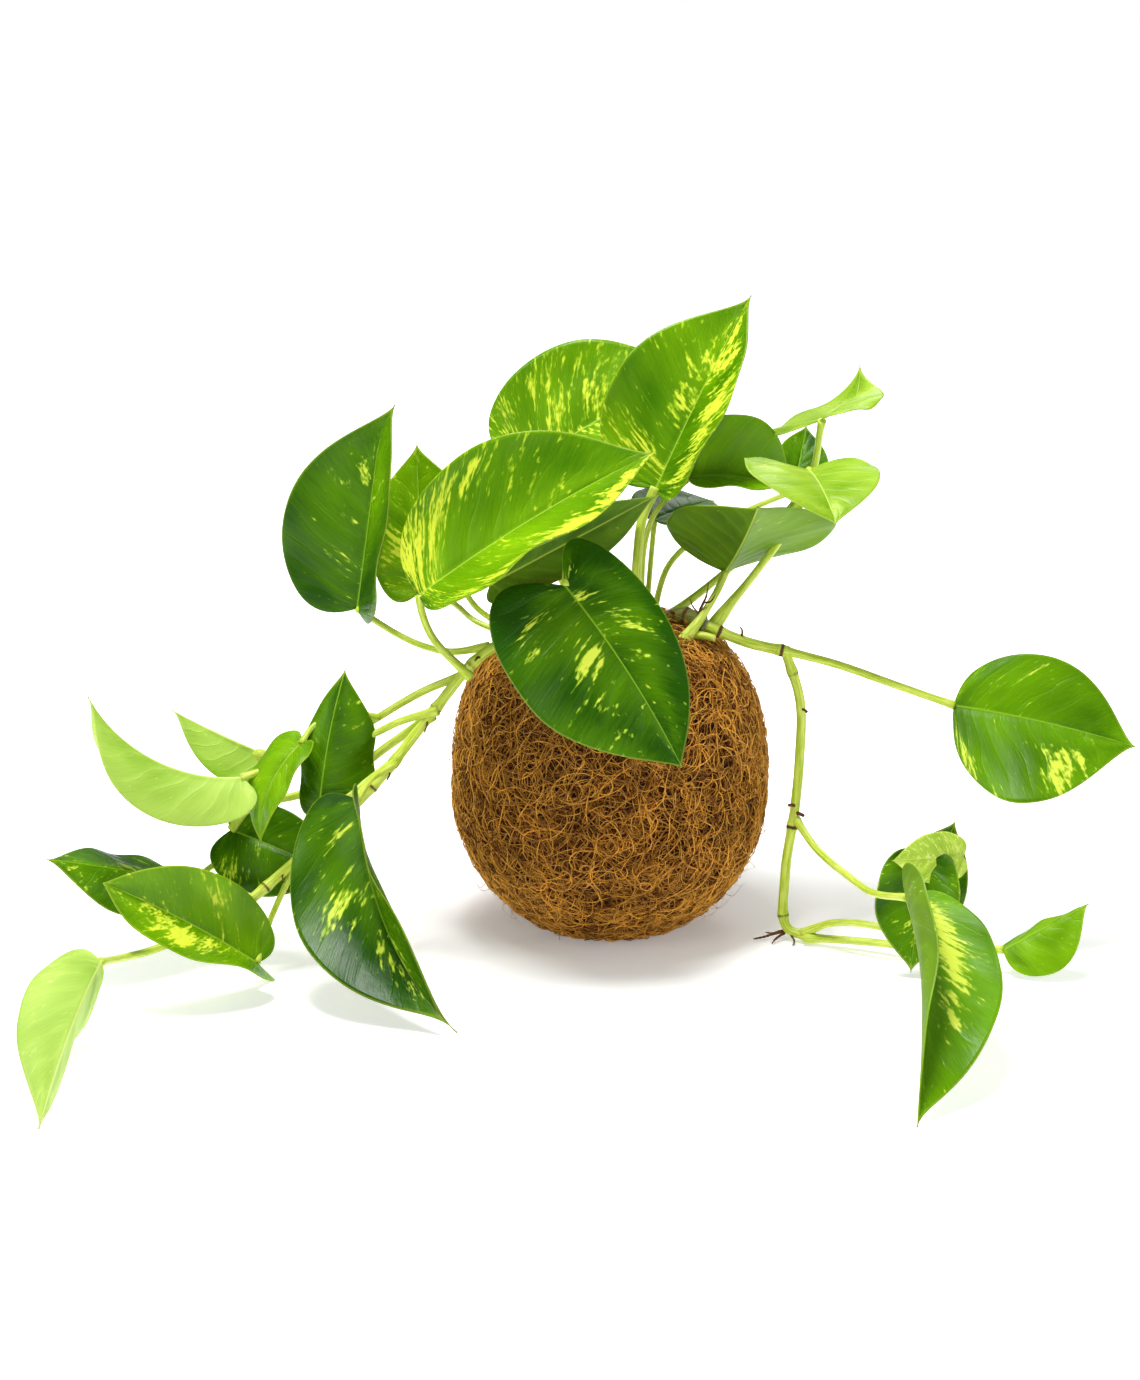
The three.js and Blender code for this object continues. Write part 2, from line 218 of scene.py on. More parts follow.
skinOutputs = {"Colour": "NodeSocketColor", "Roughness": "NodeSocketFloat", "Height": "NodeSocketFloat"}
bladeSkin = {
    # how often each pattern repeats ahead, across and from leaf to leaf
    "streak": (40, 2.3, 1), "broad": (4, 1.2, 1.31), "fleck": (75, 11, 1.17), "fine": (230, 3.5, 1.07),
    # what adds up to cream, and where its patch, the halo round it and a lone speckle begin
    "creamShares": {"broad": 0.2, "streak": 0.55, "fleck": 0.25, "spots": 0.34},
    "patchEdge": (0.635, 0.672), "haloEdge": (0.59, 0.65), "speckleEdge": (0.73, 0.78),
    "haloTone": 0.35, "speckleTone": 0.7, "broadTone": 1.2, "fineTone": 0.35,
    "veins": 9, "veinPower": 1.35, "veinWobble": 1.6, "veinHalf": 0.06, "veinSide": 0.3,
    "ribHalf": (0.85, -0.55), "ribTone": 0.75, "rim": (0.55, 0.1), "rimTone": 0.22,
    "heights": {"puff": 0.2, "vein": -0.08, "fine": 0.09, "fleck": 0.1, "cream": 0.015},
    "glossSpread": 0.25, "ribDull": 0.1, "halfShift": 7.3, "seedShift": 13.7,
}


def bladeGroup():
    group, given, result = newGroup("bladeSkin", {
        "Deep": paint(45, 95, 5), "Fresh": paint(110, 170, 25), "Cream": paint(228, 238, 120),
        "Rib": paint(170, 205, 90), "Gloss": 0.3, "Relief": 1.0, "Vein Contrast": 0.07,
    }, skinOutputs)
    skin = bladeSkin
    ahead, across, seed = split(group, reading(group, "vein", "Vector"))
    ribGap, edgeGap, shade = split(group, reading(group, "gauge", "Vector"))
    half = maths(group, "LESS_THAN", across, 0.0)
    out = maths(group, "ABSOLUTE", across)
    lane = weighted(group, out, (half, skin["halfShift"]))
    sheet = place(group, "ShaderNodeCombineXYZ", {
        0: ahead, 1: lane, 2: maths(group, "MULTIPLY", seed, skin["seedShift"])}).outputs[0]
    streak = cloud(group, sheet, skin["streak"], detail=4, roughness=0.6, distortion=0.3)
    broad = cloud(group, sheet, skin["broad"])
    fleck = cloud(group, sheet, skin["fleck"], detail=1.5)
    fine = cloud(group, sheet, skin["fine"])

    # side veins, half a step apart on the two halves
    count = weighted(group, 0.0, (maths(group, "POWER", ahead, skin["veinPower"]), skin["veins"]),
                     (broad, skin["veinWobble"]), (half, 0.5))
    between = maths(group, "ABSOLUTE", maths(group, "SUBTRACT", maths(group, "FRACT", count), 0.5))
    onVein = step(group, between, skin["veinHalf"], 0.0)
    nearVein = step(group, between, skin["veinSide"], 0.0)
    fade = maths(group, "MULTIPLY", step(group, out, 0.0, 0.12), step(group, out, 1.0, 0.75))

    shares = skin["creamShares"]
    total = weighted(group, 0.0, (broad, shares["broad"]), (streak, shares["streak"]),
                     (fleck, shares["fleck"]), (reading(group, "cream"), shares["spots"]))
    cream = step(group, total, *skin["patchEdge"])
    halo = step(group, total, *skin["haloEdge"])
    speckle = maths(group, "MULTIPLY", step(group, fleck, *skin["speckleEdge"]), skin["speckleTone"])

    veined = maths(group, "MULTIPLY", maths(group, "MULTIPLY", nearVein, fade), given["Vein Contrast"])
    lightness = weighted(group, shade, (maths(group, "SUBTRACT", broad, 0.5), skin["broadTone"]),
                         (maths(group, "SUBTRACT", fine, 0.5), skin["fineTone"]))
    lightness = maths(group, "ADD", lightness, veined, clamp=True)
    colour = blend(group, lightness, given["Deep"], given["Fresh"])
    middle = blend(group, skin["haloTone"], given["Fresh"], given["Cream"])
    colour = blend(group, maths(group, "MAXIMUM", halo, speckle), colour, middle)
    colour = blend(group, cream, colour, given["Cream"])
    thick, thinning = skin["ribHalf"]
    ribHalf = maths(group, "MULTIPLY_ADD", ahead, thinning, thick)
    rib = step(group, maths(group, "DIVIDE", ribGap, ribHalf), 1.0, 0.35)
    colour = blend(group, maths(group, "MULTIPLY", rib, skin["ribTone"]), colour, given["Rib"])
    rim = maths(group, "MULTIPLY", step(group, edgeGap, *skin["rim"]), skin["rimTone"])
    colour = blend(group, rim, colour, given["Cream"])

    heights = skin["heights"]
    puff = maths(group, "MULTIPLY", maths(group, "SINE", maths(group, "MULTIPLY", between, math.pi)), fade)
    height = weighted(group, 0.0, (puff, heights["puff"]),
                      (maths(group, "MULTIPLY", onVein, fade), heights["vein"]), (fine, heights["fine"]),
                      (fleck, heights["fleck"]), (cream, heights["cream"]))
    height = maths(group, "MULTIPLY", height, given["Relief"])
    rough = weighted(group, given["Gloss"], (maths(group, "SUBTRACT", streak, 0.5), skin["glossSpread"]),
                     (rib, skin["ribDull"]))
    return finishGroup(group, result, colour, rough, height)


bladeFinishes = {
    "leaf_deep": {"Deep": paint(34, 80, 0), "Fresh": paint(110, 166, 2), "Cream": paint(214, 228, 78),
                  "Rib": paint(140, 182, 40)},
    "leaf_bright": {"Deep": paint(60, 114, 0), "Fresh": paint(134, 186, 8), "Cream": paint(218, 228, 66),
                    "Rib": paint(168, 204, 56)},
    "leaf_pale": {"Deep": paint(112, 158, 8), "Fresh": paint(196, 226, 78), "Cream": paint(226, 240, 130),
                  "Rib": paint(212, 234, 116)},
}
# the deep and bright underside colours are kept dark, near or below their tops, as painted shade for
# undersides facing away from the lamps
underFinishes = {
    "leaf_deep": {"Deep": paint(52, 92, 4), "Fresh": paint(108, 150, 22), "Cream": paint(182, 204, 76)},
    "leaf_bright": {"Deep": paint(56, 92, 2), "Fresh": paint(112, 154, 14), "Cream": paint(186, 206, 74)},
    "leaf_pale": {"Deep": paint(132, 176, 40), "Fresh": paint(192, 222, 98), "Cream": paint(222, 236, 140)},
}


def bladeMaterials():
    group = bladeGroup()
    made = {}
    for slotName, finish in bladeFinishes.items():
        top = newMaterial(slotName + "Top")
        skin = useGroup(top, group, {**finish, "Gloss": 0.3})
        principled(top, {
            "Base Color": skin["Colour"], "Roughness": skin["Roughness"], "Specular IOR Level": 0.13,
            "Subsurface Weight": 0.22, "Subsurface Radius": (0.8, 1.0, 0.1), "Subsurface Scale": mm,
            "Coat Weight": 0.03, "Coat Roughness": 0.1,
        }, skin["Height"])
        under = newMaterial(slotName + "Under")
        finish = {**underFinishes[slotName], "Gloss": 0.52, "Relief": -0.9, "Vein Contrast": 0.16}
        skin = useGroup(under, group, {**finish, "Rib": finish["Cream"]})
        principled(under, {
            "Base Color": skin["Colour"], "Roughness": skin["Roughness"], "Specular IOR Level": 0.3,
            "Subsurface Weight": 0.25, "Subsurface Radius": (0.8, 1.0, 0.25), "Subsurface Scale": mm,
        }, skin["Height"])
        made[slotName] = (top, under)
    return made


stemSkin = {
    # how often each pattern repeats across and along, in millimetres
    "streak": (1.6, 1.6, 0.03), "mottle": (0.6, 0.6, 0.12), "speck": (3.5, 3.5, 1.6),
    "lightShares": (0.6, 0.4), "lightEdge": (0.36, 0.64), "dotEdge": (0.72, 0.78), "dotTone": 0.55,
    "barkMottle": 0.5, "barkEdge": (0.55, 0.95), "barkDull": 0.35, "barkHeight": 0.5, "streakHeight": 0.22,
}


def stemGroup():
    group, given, result = newGroup("stemSkin", {
        "Main": paint(150, 185, 45), "Light": paint(205, 222, 110), "Bark": paint(96, 62, 30), "Gloss": 0.42,
    }, skinOutputs)
    grain = reading(group, "grain", "Vector")
    skin = stemSkin
    streak = cloud(group, grain, skin["streak"], detail=3, roughness=0.6)
    mottle = cloud(group, grain, skin["mottle"], detail=3)
    speck = cloud(group, grain, skin["speck"])
    byStreak, byMottle = skin["lightShares"]
    # the Light colour, laid in streaks and mottles, is partly the stem's own paler streaks and partly painted
    # highlight
    light = step(group, weighted(group, 0.0, (streak, byStreak), (mottle, byMottle)), *skin["lightEdge"])
    colour = blend(group, light, given["Main"], given["Light"])
    dots = maths(group, "MULTIPLY", step(group, speck, *skin["dotEdge"]), skin["dotTone"])
    colour = blend(group, dots, colour, given["Bark"])
    bark = weighted(group, reading(group, "ring"), (mottle, skin["barkMottle"]))
    bark = step(group, bark, *skin["barkEdge"])
    colour = blend(group, bark, colour, given["Bark"])
    rough = weighted(group, given["Gloss"], (bark, skin["barkDull"]))
    height = weighted(group, 0.0, (maths(group, "MULTIPLY", bark, speck), skin["barkHeight"]),
                      (streak, skin["streakHeight"]))
    return finishGroup(group, result, colour, rough, height)


# each Light colour is partly paler streaks and partly painted highlight
stemFinishes = {
    "stem": {"Main": paint(172, 200, 34), "Light": paint(222, 234, 104), "Gloss": 0.34},
    "rhizome": {"Main": paint(84, 92, 30), "Light": paint(136, 140, 60), "Gloss": 0.6},
    "root": {"Main": paint(70, 42, 22), "Light": paint(120, 78, 42), "Gloss": 0.75},
}


def stemMaterials():
    group = stemGroup()
    made = {}
    for name, finish in stemFinishes.items():
        made[name] = newMaterial(name + "Skin")
        skin = useGroup(made[name], group, finish)
        principled(made[name], {
            "Base Color": skin["Colour"], "Roughness": skin["Roughness"], "Specular IOR Level": 0.35,
            "Subsurface Weight": 0.1 if name == "stem" else 0.0,
            "Subsurface Radius": (0.8, 1.0, 0.3), "Subsurface Scale": mm,
        }, skin["Height"])
    return made


fibreSkin = {
    # how often each pattern repeats in a metre, and how far it moves the tone
    "patch": (45, 45, 45), "along": (420, 420, 420), "patchTone": 0.7, "alongTone": 0.6, "dull": (-0.2, 0.8),
}


def fibreGroup():
    group, given, result = newGroup("fibreTone", {
        "Dark": paint(52, 26, 8), "Tan": paint(190, 132, 70), "Grain": 1.0,
    }, skinOutputs)
    where = place(group, "ShaderNodeTexCoord").outputs["Object"]
    patch = cloud(group, where, fibreSkin["patch"], detail=2)
    along = cloud(group, where, fibreSkin["along"], detail=2)
    tone = weighted(group, reading(group, "tone"),
                    (maths(group, "SUBTRACT", patch, 0.5), fibreSkin["patchTone"]),
                    (maths(group, "SUBTRACT", along, 0.5), fibreSkin["alongTone"]))
    tone = maths(group, "ADD", tone, 0.0, clamp=True)
    colour = blend(group, tone, given["Dark"], given["Tan"])
    rough = maths(group, "MULTIPLY_ADD", tone, *fibreSkin["dull"])
    return finishGroup(group, result, colour, rough, maths(group, "MULTIPLY", along, given["Grain"]))


fibreFinishes = {
    # the mat under the fibres is the coir wrap, coloured far darker than the fibres as painted shade in the
    # gaps between them
    "coirMat": {"Dark": paint(26, 9, 1), "Tan": paint(84, 42, 10), "Grain": 1.6},
    "coirFibre": {"Dark": paint(96, 44, 4), "Tan": paint(255, 186, 74), "Grain": 0.15},
    "pottingSoil": {"Dark": paint(24, 15, 9), "Tan": paint(78, 52, 32), "Grain": 1.4},
}


def fibreMaterials():
    group = fibreGroup()
    made = {}
    for name, finish in fibreFinishes.items():
        made[name] = newMaterial(name)
        skin = useGroup(made[name], group, finish)
        principled(made[name], {
            "Base Color": skin["Colour"], "Roughness": skin["Roughness"], "Specular IOR Level": 0.25,
        }, skin["Height"])
    return made


def meshFrom(bm, name):
    mesh = bpy.data.meshes.new(name)
    bm.to_mesh(mesh)
    bm.free()
    return mesh


def normalised(vectors):
    return vectors / np.linalg.norm(vectors, axis=-1, keepdims=True)


def addPiece(name, mesh, materials, nodes=()):
    for material in materials:
        mesh.materials.append(material)
    mesh.polygons.foreach_set("use_smooth", [True] * len(mesh.polygons))
    piece = bpy.data.objects.new(name, mesh)
    scene.collection.objects.link(piece)
    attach(piece, "root")
    if nodes:
        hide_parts(*nodes)
    return piece


# Leaves. base is where the petiole joins, in millimetres. aim is the midrib's heading, rise and the
# blade's roll there, and bend is how far it droops, veers and twists by the tip, all in degrees.
# width, fold and curl are for the left and right half. shade runs from deep to fresh green; it is
# partly the leaf's own green and partly painted shade, set low for leaves that lie in shadow. Each
# spot is (ahead, across, its length, its breadth, strength). The painted light spots lighten the
# green as painted light glowing through the leaf, and darken it as painted shade where negative.

blades = {
    "front_cream": {
        "base": (-83, -45, 162), "length": 120, "width": (40, 44), "lobe": 0.02, "aim": (4, 37, 40),
        "bend": (12, 0, 0), "fold": (18, 18), "curl": (34, 34), "slot": "leaf_bright", "cream": 0.08,
        "shade": 0.34, "wave": 1.6, "creamSpots": [(0.14, -0.4, 0.07, 0.45, 0.62),
        (0.27, -0.5, 0.05, 0.45, 0.5), (0.4, -0.6, 0.07, 0.5, 0.34), (0.08, -0.9, 0.1, 0.4, 0.4),
        (0.6, -0.75, 0.16, 0.3, 0.3), (0.25, 0.4, 0.12, 0.4, 0.26), (0.6, 0.85, 0.3, 0.16, 0.4),
        (0.86, 0.8, 0.16, 0.3, 0.42)], "paintedLightSpots": [(0.05, 0, 0.1, 1, -0.7), (0.6, 0.3, 0.3, 0.8, 0.2)]},
    "left_upright": {
        "base": (-112, -12, 148), "length": 92, "width": (38, 36), "lobe": 0.2, "aim": (29, 81, 21),
        "fold": (20, 20), "curl": (34, 34), "hook": (5, -2), "slot": "leaf_deep", "shade": 0.22,
        "creamSpots": [(0.86, -0.25, 0.1, 0.3, 0.42), (0.15, -0.5, 0.05, 0.3, 0.25)],
        "paintedLightSpots": [(0.9, 0, 0.2, 1, 0.4)]},
    "left_behind": {
        "base": (-84, -4, 154), "length": 66, "width": (22, 28), "aim": (96, 72, -17), "fold": (12, 12),
        "curl": (10, 10), "slot": "leaf_bright", "cream": 0.1, "shade": 0.6,
        "creamSpots": [(0.35, 0.5, 0.15, 0.4, 0.45), (0.6, -0.4, 0.12, 0.4, 0.35)]},
    "top_back": {
        "base": (-37, 40, 202), "length": 90, "width": (41, 38), "aim": (10, 36, 42), "bend": (20, 0, 0),
        "fold": (12, 12), "curl": (10, 10), "slot": "leaf_bright", "cream": 0.2, "shade": 0.45,
        "creamSpots": [(0.3, -0.4, 0.15, 0.5, 0.12), (0.5, 0.5, 0.2, 0.5, 0.12),
        (0.65, -0.3, 0.15, 0.5, 0.1)]},
    "top_cream": {
        "base": (20, 0, 200), "length": 94, "width": (38, 28), "lobe": 0.2, "aim": (26, 63, 28),
        "bend": (5, 0, 0), "fold": (16, 16), "curl": (32, 32), "hook": (2, 3), "slot": "leaf_bright",
        "cream": 0.08, "shade": 0.3, "wave": 1.2, "creamSpots": [(0.5, 0.62, 0.34, 0.3, 0.5),
        (0.3, 0.5, 0.15, 0.3, 0.25), (0.45, -0.3, 0.06, 0.25, 0.3), (0.68, -0.2, 0.07, 0.2, 0.26),
        (0.85, 0.3, 0.15, 0.4, 0.3)], "paintedLightSpots": [(0.15, -0.6, 0.15, 0.5, 0.5)]},
    "shaded": {
        "base": (-53, -10, 159), "length": 84, "width": (24, 13), "aim": (-2, 29, -70), "fold": (15, 15),
        "curl": (20, 20), "slot": "leaf_deep", "shade": 0.4, "wave": 0.6,
        "creamSpots": [(0.5, 0.8, 0.4, 0.3, 0.2)], "paintedLightSpots": [(0.5, 0.9, 0.6, 0.35, 0.7)]},
    # front_hanging's low shade is partly painted shade, for a leaf that faces down under the leaves above
    "front_hanging": {
        "base": (-20, -66, 171), "length": 92, "width": (27, 47), "lobe": 0.55, "taper": 1.7,
        "aim": (-25, -46, 50), "bend": (15, 0, 0), "fold": (5, 5), "curl": (10, 10), "slot": "leaf_deep",
        "shade": 0.05, "wave": 1.2, "creamSpots": [(0.4, -0.12, 0.06, 0.2, 0.5),
        (0.33, 0.5, 0.04, 0.3, 0.36), (0.66, 0.3, 0.05, 0.3, 0.42), (0.78, 0.5, 0.04, 0.2, 0.3),
        (0.1, -0.4, 0.05, 0.2, 0.26), (0.6, -0.55, 0.04, 0.3, 0.2)],
        "paintedLightSpots": [(0.45, 0.15, 0.25, 0.25, 0.35)]},
    "right_bright": {
        "base": (35, 8, 203), "length": 53, "width": (30, 27), "aim": (22, 2, 27), "bend": (27, 0, 0),
        "fold": (60, 25), "curl": (31, 1), "slot": "leaf_bright", "cream": -0.1, "shade": 0.55, "wave": 0.8,
        "paintedLightSpots": [(0.5, 0.7, 0.6, 0.5, 0.5)]},
    "right_twisted": {
        "base": (92, 5, 229), "length": 51, "width": (32, 22), "aim": (61, 7, -16), "fold": (-2, 22),
        "curl": (-4, -50), "hook": (0, 12), "slot": "leaf_pale", "cream": -0.05, "shade": 0.3, "wave": 1.2},
    "right_saddle": {
        "base": (87, -6, 209), "length": 44, "width": (27, 36), "aim": (-77, -4, -7), "bend": (36, 0, 0),
        "fold": (20, 6), "curl": (-1, 8), "slot": "leaf_pale", "shade": 0.35,
        "creamSpots": [(0.3, 0.6, 0.2, 0.3, 0.3)]},
    "right_underside": {
        "base": (51, 0, 162), "length": 50, "width": (50, 34), "aim": (-69, 39, 2), "bend": (-15, 0, 0),
        "fold": (18, 45), "curl": (-23, -11), "slot": "leaf_bright", "cream": -0.05, "shade": 0.5,
        "wave": 0.8, "paintedLightSpots": [(0.5, -0.7, 0.6, 0.5, 0.5)]},
    "crown_small": {
        "base": (20, 25, 180), "length": 45, "width": (20, 20), "aim": (51, 7, 11), "bend": (10, 0, 0),
        "fold": (10, 10), "curl": (10, 10), "slot": "leaf_deep", "cream": -0.05, "shade": 0.3, "wave": 0.6},
    "crown_inner": {
        "base": (84, 47, 189), "length": 34, "width": (12, 14), "aim": (72, 51, 29), "fold": (10, 10),
        "curl": (10, 10), "slot": "leaf_deep", "cream": -0.05, "shade": 0.35, "wave": 0.6},
    "far_right": {
        "base": (152, -20, 106), "length": 82, "width": (29, 43), "lobe": -0.05, "aim": (-13, -5, 56),
        "bend": (10, 0, 0), "fold": (8, 8), "curl": (10, 10), "slot": "leaf_deep", "cream": 0.02,
        "shade": 0.55, "wave": 0.8, "creamSpots": [(0.22, 0.75, 0.1, 0.3, 0.45),
        (0.12, 0.4, 0.06, 0.3, 0.35), (0.78, 0.55, 0.07, 0.35, 0.45), (0.7, 0.8, 0.06, 0.2, 0.3)],
        "paintedLightSpots": [(0.6, 0, 0.3, 1, 0.1)]},
    "floor_back": {
        "base": (136, -66, 49), "length": 49, "width": (20, 20), "aim": (-113, -65, -8), "bend": (10, 0, 0),
        "fold": (15, 15), "curl": (20, 20), "slot": "leaf_deep", "cream": 0.05, "shade": 0.35, "wave": 0.8},
    "floor_folded": {
        "base": (133, -56, 13), "length": 52, "width": (24, 16), "lobe": 0.2, "aim": (24, 68, 72),
        "fold": (10, 10), "curl": (20, 20), "slot": "leaf_deep", "shade": 0.3, "wave": 0.8,
        "creamSpots": [(0.7, 0.5, 0.1, 0.3, 0.2)]},
    "floor_front": {
        "base": (121, -135, 55), "length": 129, "width": (33, 22), "aim": (-84, -15, -52),
        "bend": (20, -18, 0), "fold": (25, 25), "curl": (50, 50), "slot": "leaf_deep", "cream": 0.03,
        "shade": 0.8, "wave": 1.2, "creamSpots": [(0.2, -0.3, 0.07, 0.3, 0.45),
        (0.34, -0.4, 0.08, 0.25, 0.5), (0.48, -0.42, 0.09, 0.22, 0.55), (0.62, -0.45, 0.08, 0.2, 0.5),
        (0.76, -0.5, 0.06, 0.25, 0.4), (0.3, 0.5, 0.06, 0.3, 0.3)], "paintedLightSpots": [(0.3, 0, 0.2, 0.4, 0.2)]},
    "floor_speckled": {
        "base": (170, -75, 11), "length": 42, "width": (9, 20), "lobe": 0.1, "aim": (0, 30, 49),
        "fold": (-55, 0), "curl": (0, -10), "slot": "leaf_bright", "cream": -0.02, "shade": 0.7, "wave": 0.6},
    "left_pale": {
        "base": (-160, -62, 85), "length": 80, "width": (42, 24), "taper": 3.2, "aim": (190, -2, 149),
        "bend": (-67, 0, 0), "fold": (63, 10), "curl": (-8, 37), "slot": "leaf_pale", "cream": -0.05,
        "shade": 0.7, "wave": 1.4, "paintedLightSpots": [(0.9, 0.2, 0.25, 0.8, -0.3)]},
    "left_pale_back": {
        "base": (-144, -27, 82), "length": 55, "width": (14, 18), "aim": (-174, 22, 131),
        "bend": (-10, 0, 0), "fold": (70, 10), "curl": (20, 20), "slot": "leaf_pale", "cream": -0.05,
        "shade": 0.7},
    "left_arched": {
        "base": (-126, -68, 74), "length": 61, "width": (12, 27), "aim": (66, 76, 36), "bend": (20, -3, 0),
        "fold": (-32, -12), "curl": (-9, -35), "slot": "leaf_deep", "cream": -0.04, "shade": 0.3,
        "wave": 1.6},
    "left_drooping": {
        "base": (-134, -60, 100), "length": 49, "width": (11, 14), "aim": (-148, -33, -9),
        "bend": (62, 0, 0), "fold": (8, 9), "curl": (-25, -10), "slot": "leaf_bright", "cream": -0.02,
        "shade": 0.6},
    "left_shadow": {
        "base": (-167, -45, 56), "length": 54, "width": (17, 26), "aim": (-17, -14, 51), "bend": (10, 0, 0),
        "fold": (8, 8), "curl": (10, 10), "slot": "leaf_deep", "shade": 0.3, "wave": 0.8,
        "creamSpots": [(0.4, 0.8, 0.15, 0.3, 0.4)]},
    "left_low": {
        "base": (-184, -66, 38), "length": 67, "width": (22, 24), "aim": (-152, 23, -60),
        "bend": (10, 0, 0), "fold": (5, -55), "curl": (0, 0), "slot": "leaf_deep", "cream": 0.08,
        "shade": 0.4, "creamSpots": [(0.4, -0.2, 0.1, 0.5, 0.3), (0.7, 0.3, 0.1, 0.4, 0.25)]},
    "left_spread": {
        "base": (-152, -95, 12), "length": 80, "width": (25, 25), "taper": 1.4, "aim": (-157, 39, -30),
        "bend": (10, 0, -45), "fold": (15, 15), "curl": (32, 32), "slot": "leaf_bright", "cream": 0.02,
        "shade": 0.35, "creamSpots": [(0.72, -0.45, 0.08, 0.35, 0.5), (0.6, -0.3, 0.06, 0.3, 0.34),
        (0.86, -0.2, 0.08, 0.4, 0.36), (0.6, 0.4, 0.06, 0.3, 0.24)],
        "paintedLightSpots": [(0.6, 0.5, 0.3, 0.4, 0.3)]},
    "left_tip": {
        "base": (-210, -155, 34), "length": 109, "width": (22, 24), "lobe": 0.2, "aim": (-96, -4, 121),
        "bend": (25, 0, 0), "fold": (30, 30), "curl": (30, 30), "slot": "leaf_pale", "cream": 0.03,
        "shade": 0.6, "creamSpots": [(0.35, 0.4, 0.1, 0.5, 0.2)],
        "paintedLightSpots": [(0.4, 0.2, 0.12, 0.5, -0.6)]},
    "left_long": {
        "base": (-109, -81, 81), "length": 120, "width": (23, 36), "lobe": 0.2, "taper": 5,
        "aim": (-77, -60, 65), "bend": (-38, 32, 0), "fold": (25, 25), "curl": (36, 36),
        "slot": "leaf_deep", "shade": 0.16, "wave": 1.4, "creamSpots": [(0.4, 0.25, 0.05, 0.25, 0.3),
        (0.62, 0.5, 0.06, 0.3, 0.4), (0.84, 0.3, 0.12, 0.5, 0.36), (0.55, -0.5, 0.06, 0.3, 0.25)],
        "paintedLightSpots": [(0.45, -0.3, 0.2, 0.4, 0.3)]},
}
# what a leaf has where its own entry says nothing else
bladeUsual = {
    "lobe": 0.3, "taper": 2.5, "bend": (0, 0, 0), "hook": (0, 0), "cream": 0, "wave": 1, "creamSpots": [],
    "paintedLightSpots": [],
}
bladeMake = {
    "rows": 72, "columns": 44, "thickness": 0.55, "earSweep": 1.25, "ribSweep": 2.8, "hookStart": 0.72,
    "waves": 2.6, "waveRise": 2.2, "waveSeed": 0.37, "waveHalf": 0.45, "puff": 0.16, "groove": 0.4,
    "grooveWidth": 1.1, "lump": 1.5, "lumpScale": (4.2, 1.5, 5.3),
}


def arc(wave, start, change, end):
    # integral of wave(start + change * t) for t from 0 to end
    half = change * end / 2
    return end * wave(start + half) * (1 if abs(half) < 1e-6 else math.sin(half) / half)


def midrib(blade, along):
    end = max(along, 0)
    heading, rise, roll = (math.radians(angle) for angle in blade["aim"])
    droop, veer, twist = (math.radians(angle) for angle in blade["bend"])
    turns = [(heading + rise, veer - droop, end), (heading - rise, veer + droop, end)]
    point = blade["length"] * Vector((
        sum(arc(math.cos, *turn) for turn in turns) / 2, sum(arc(math.sin, *turn) for turn in turns) / 2,
        arc(math.sin, rise, -droop, end),
    )) + Vector(blade["base"])
    bearing = heading + veer * end
    slope = rise - droop * end
    level = math.cos(slope)
    forward = Vector((level * math.cos(bearing), level * math.sin(bearing), math.sin(slope)))
    side = Vector((math.sin(bearing), -math.cos(bearing), 0))
    turn = Matrix.Rotation(roll + twist * end, 3, forward)
    face = turn @ side.cross(forward)
    return point + forward * min(along, 0) * blade["length"], turn @ side, face


def spotSum(spots, ahead, across):
    return sum(strength * math.exp(-((ahead - a) / length) ** 2 - ((across - c) / breadth) ** 2)
               for a, c, length, breadth, strength in spots)


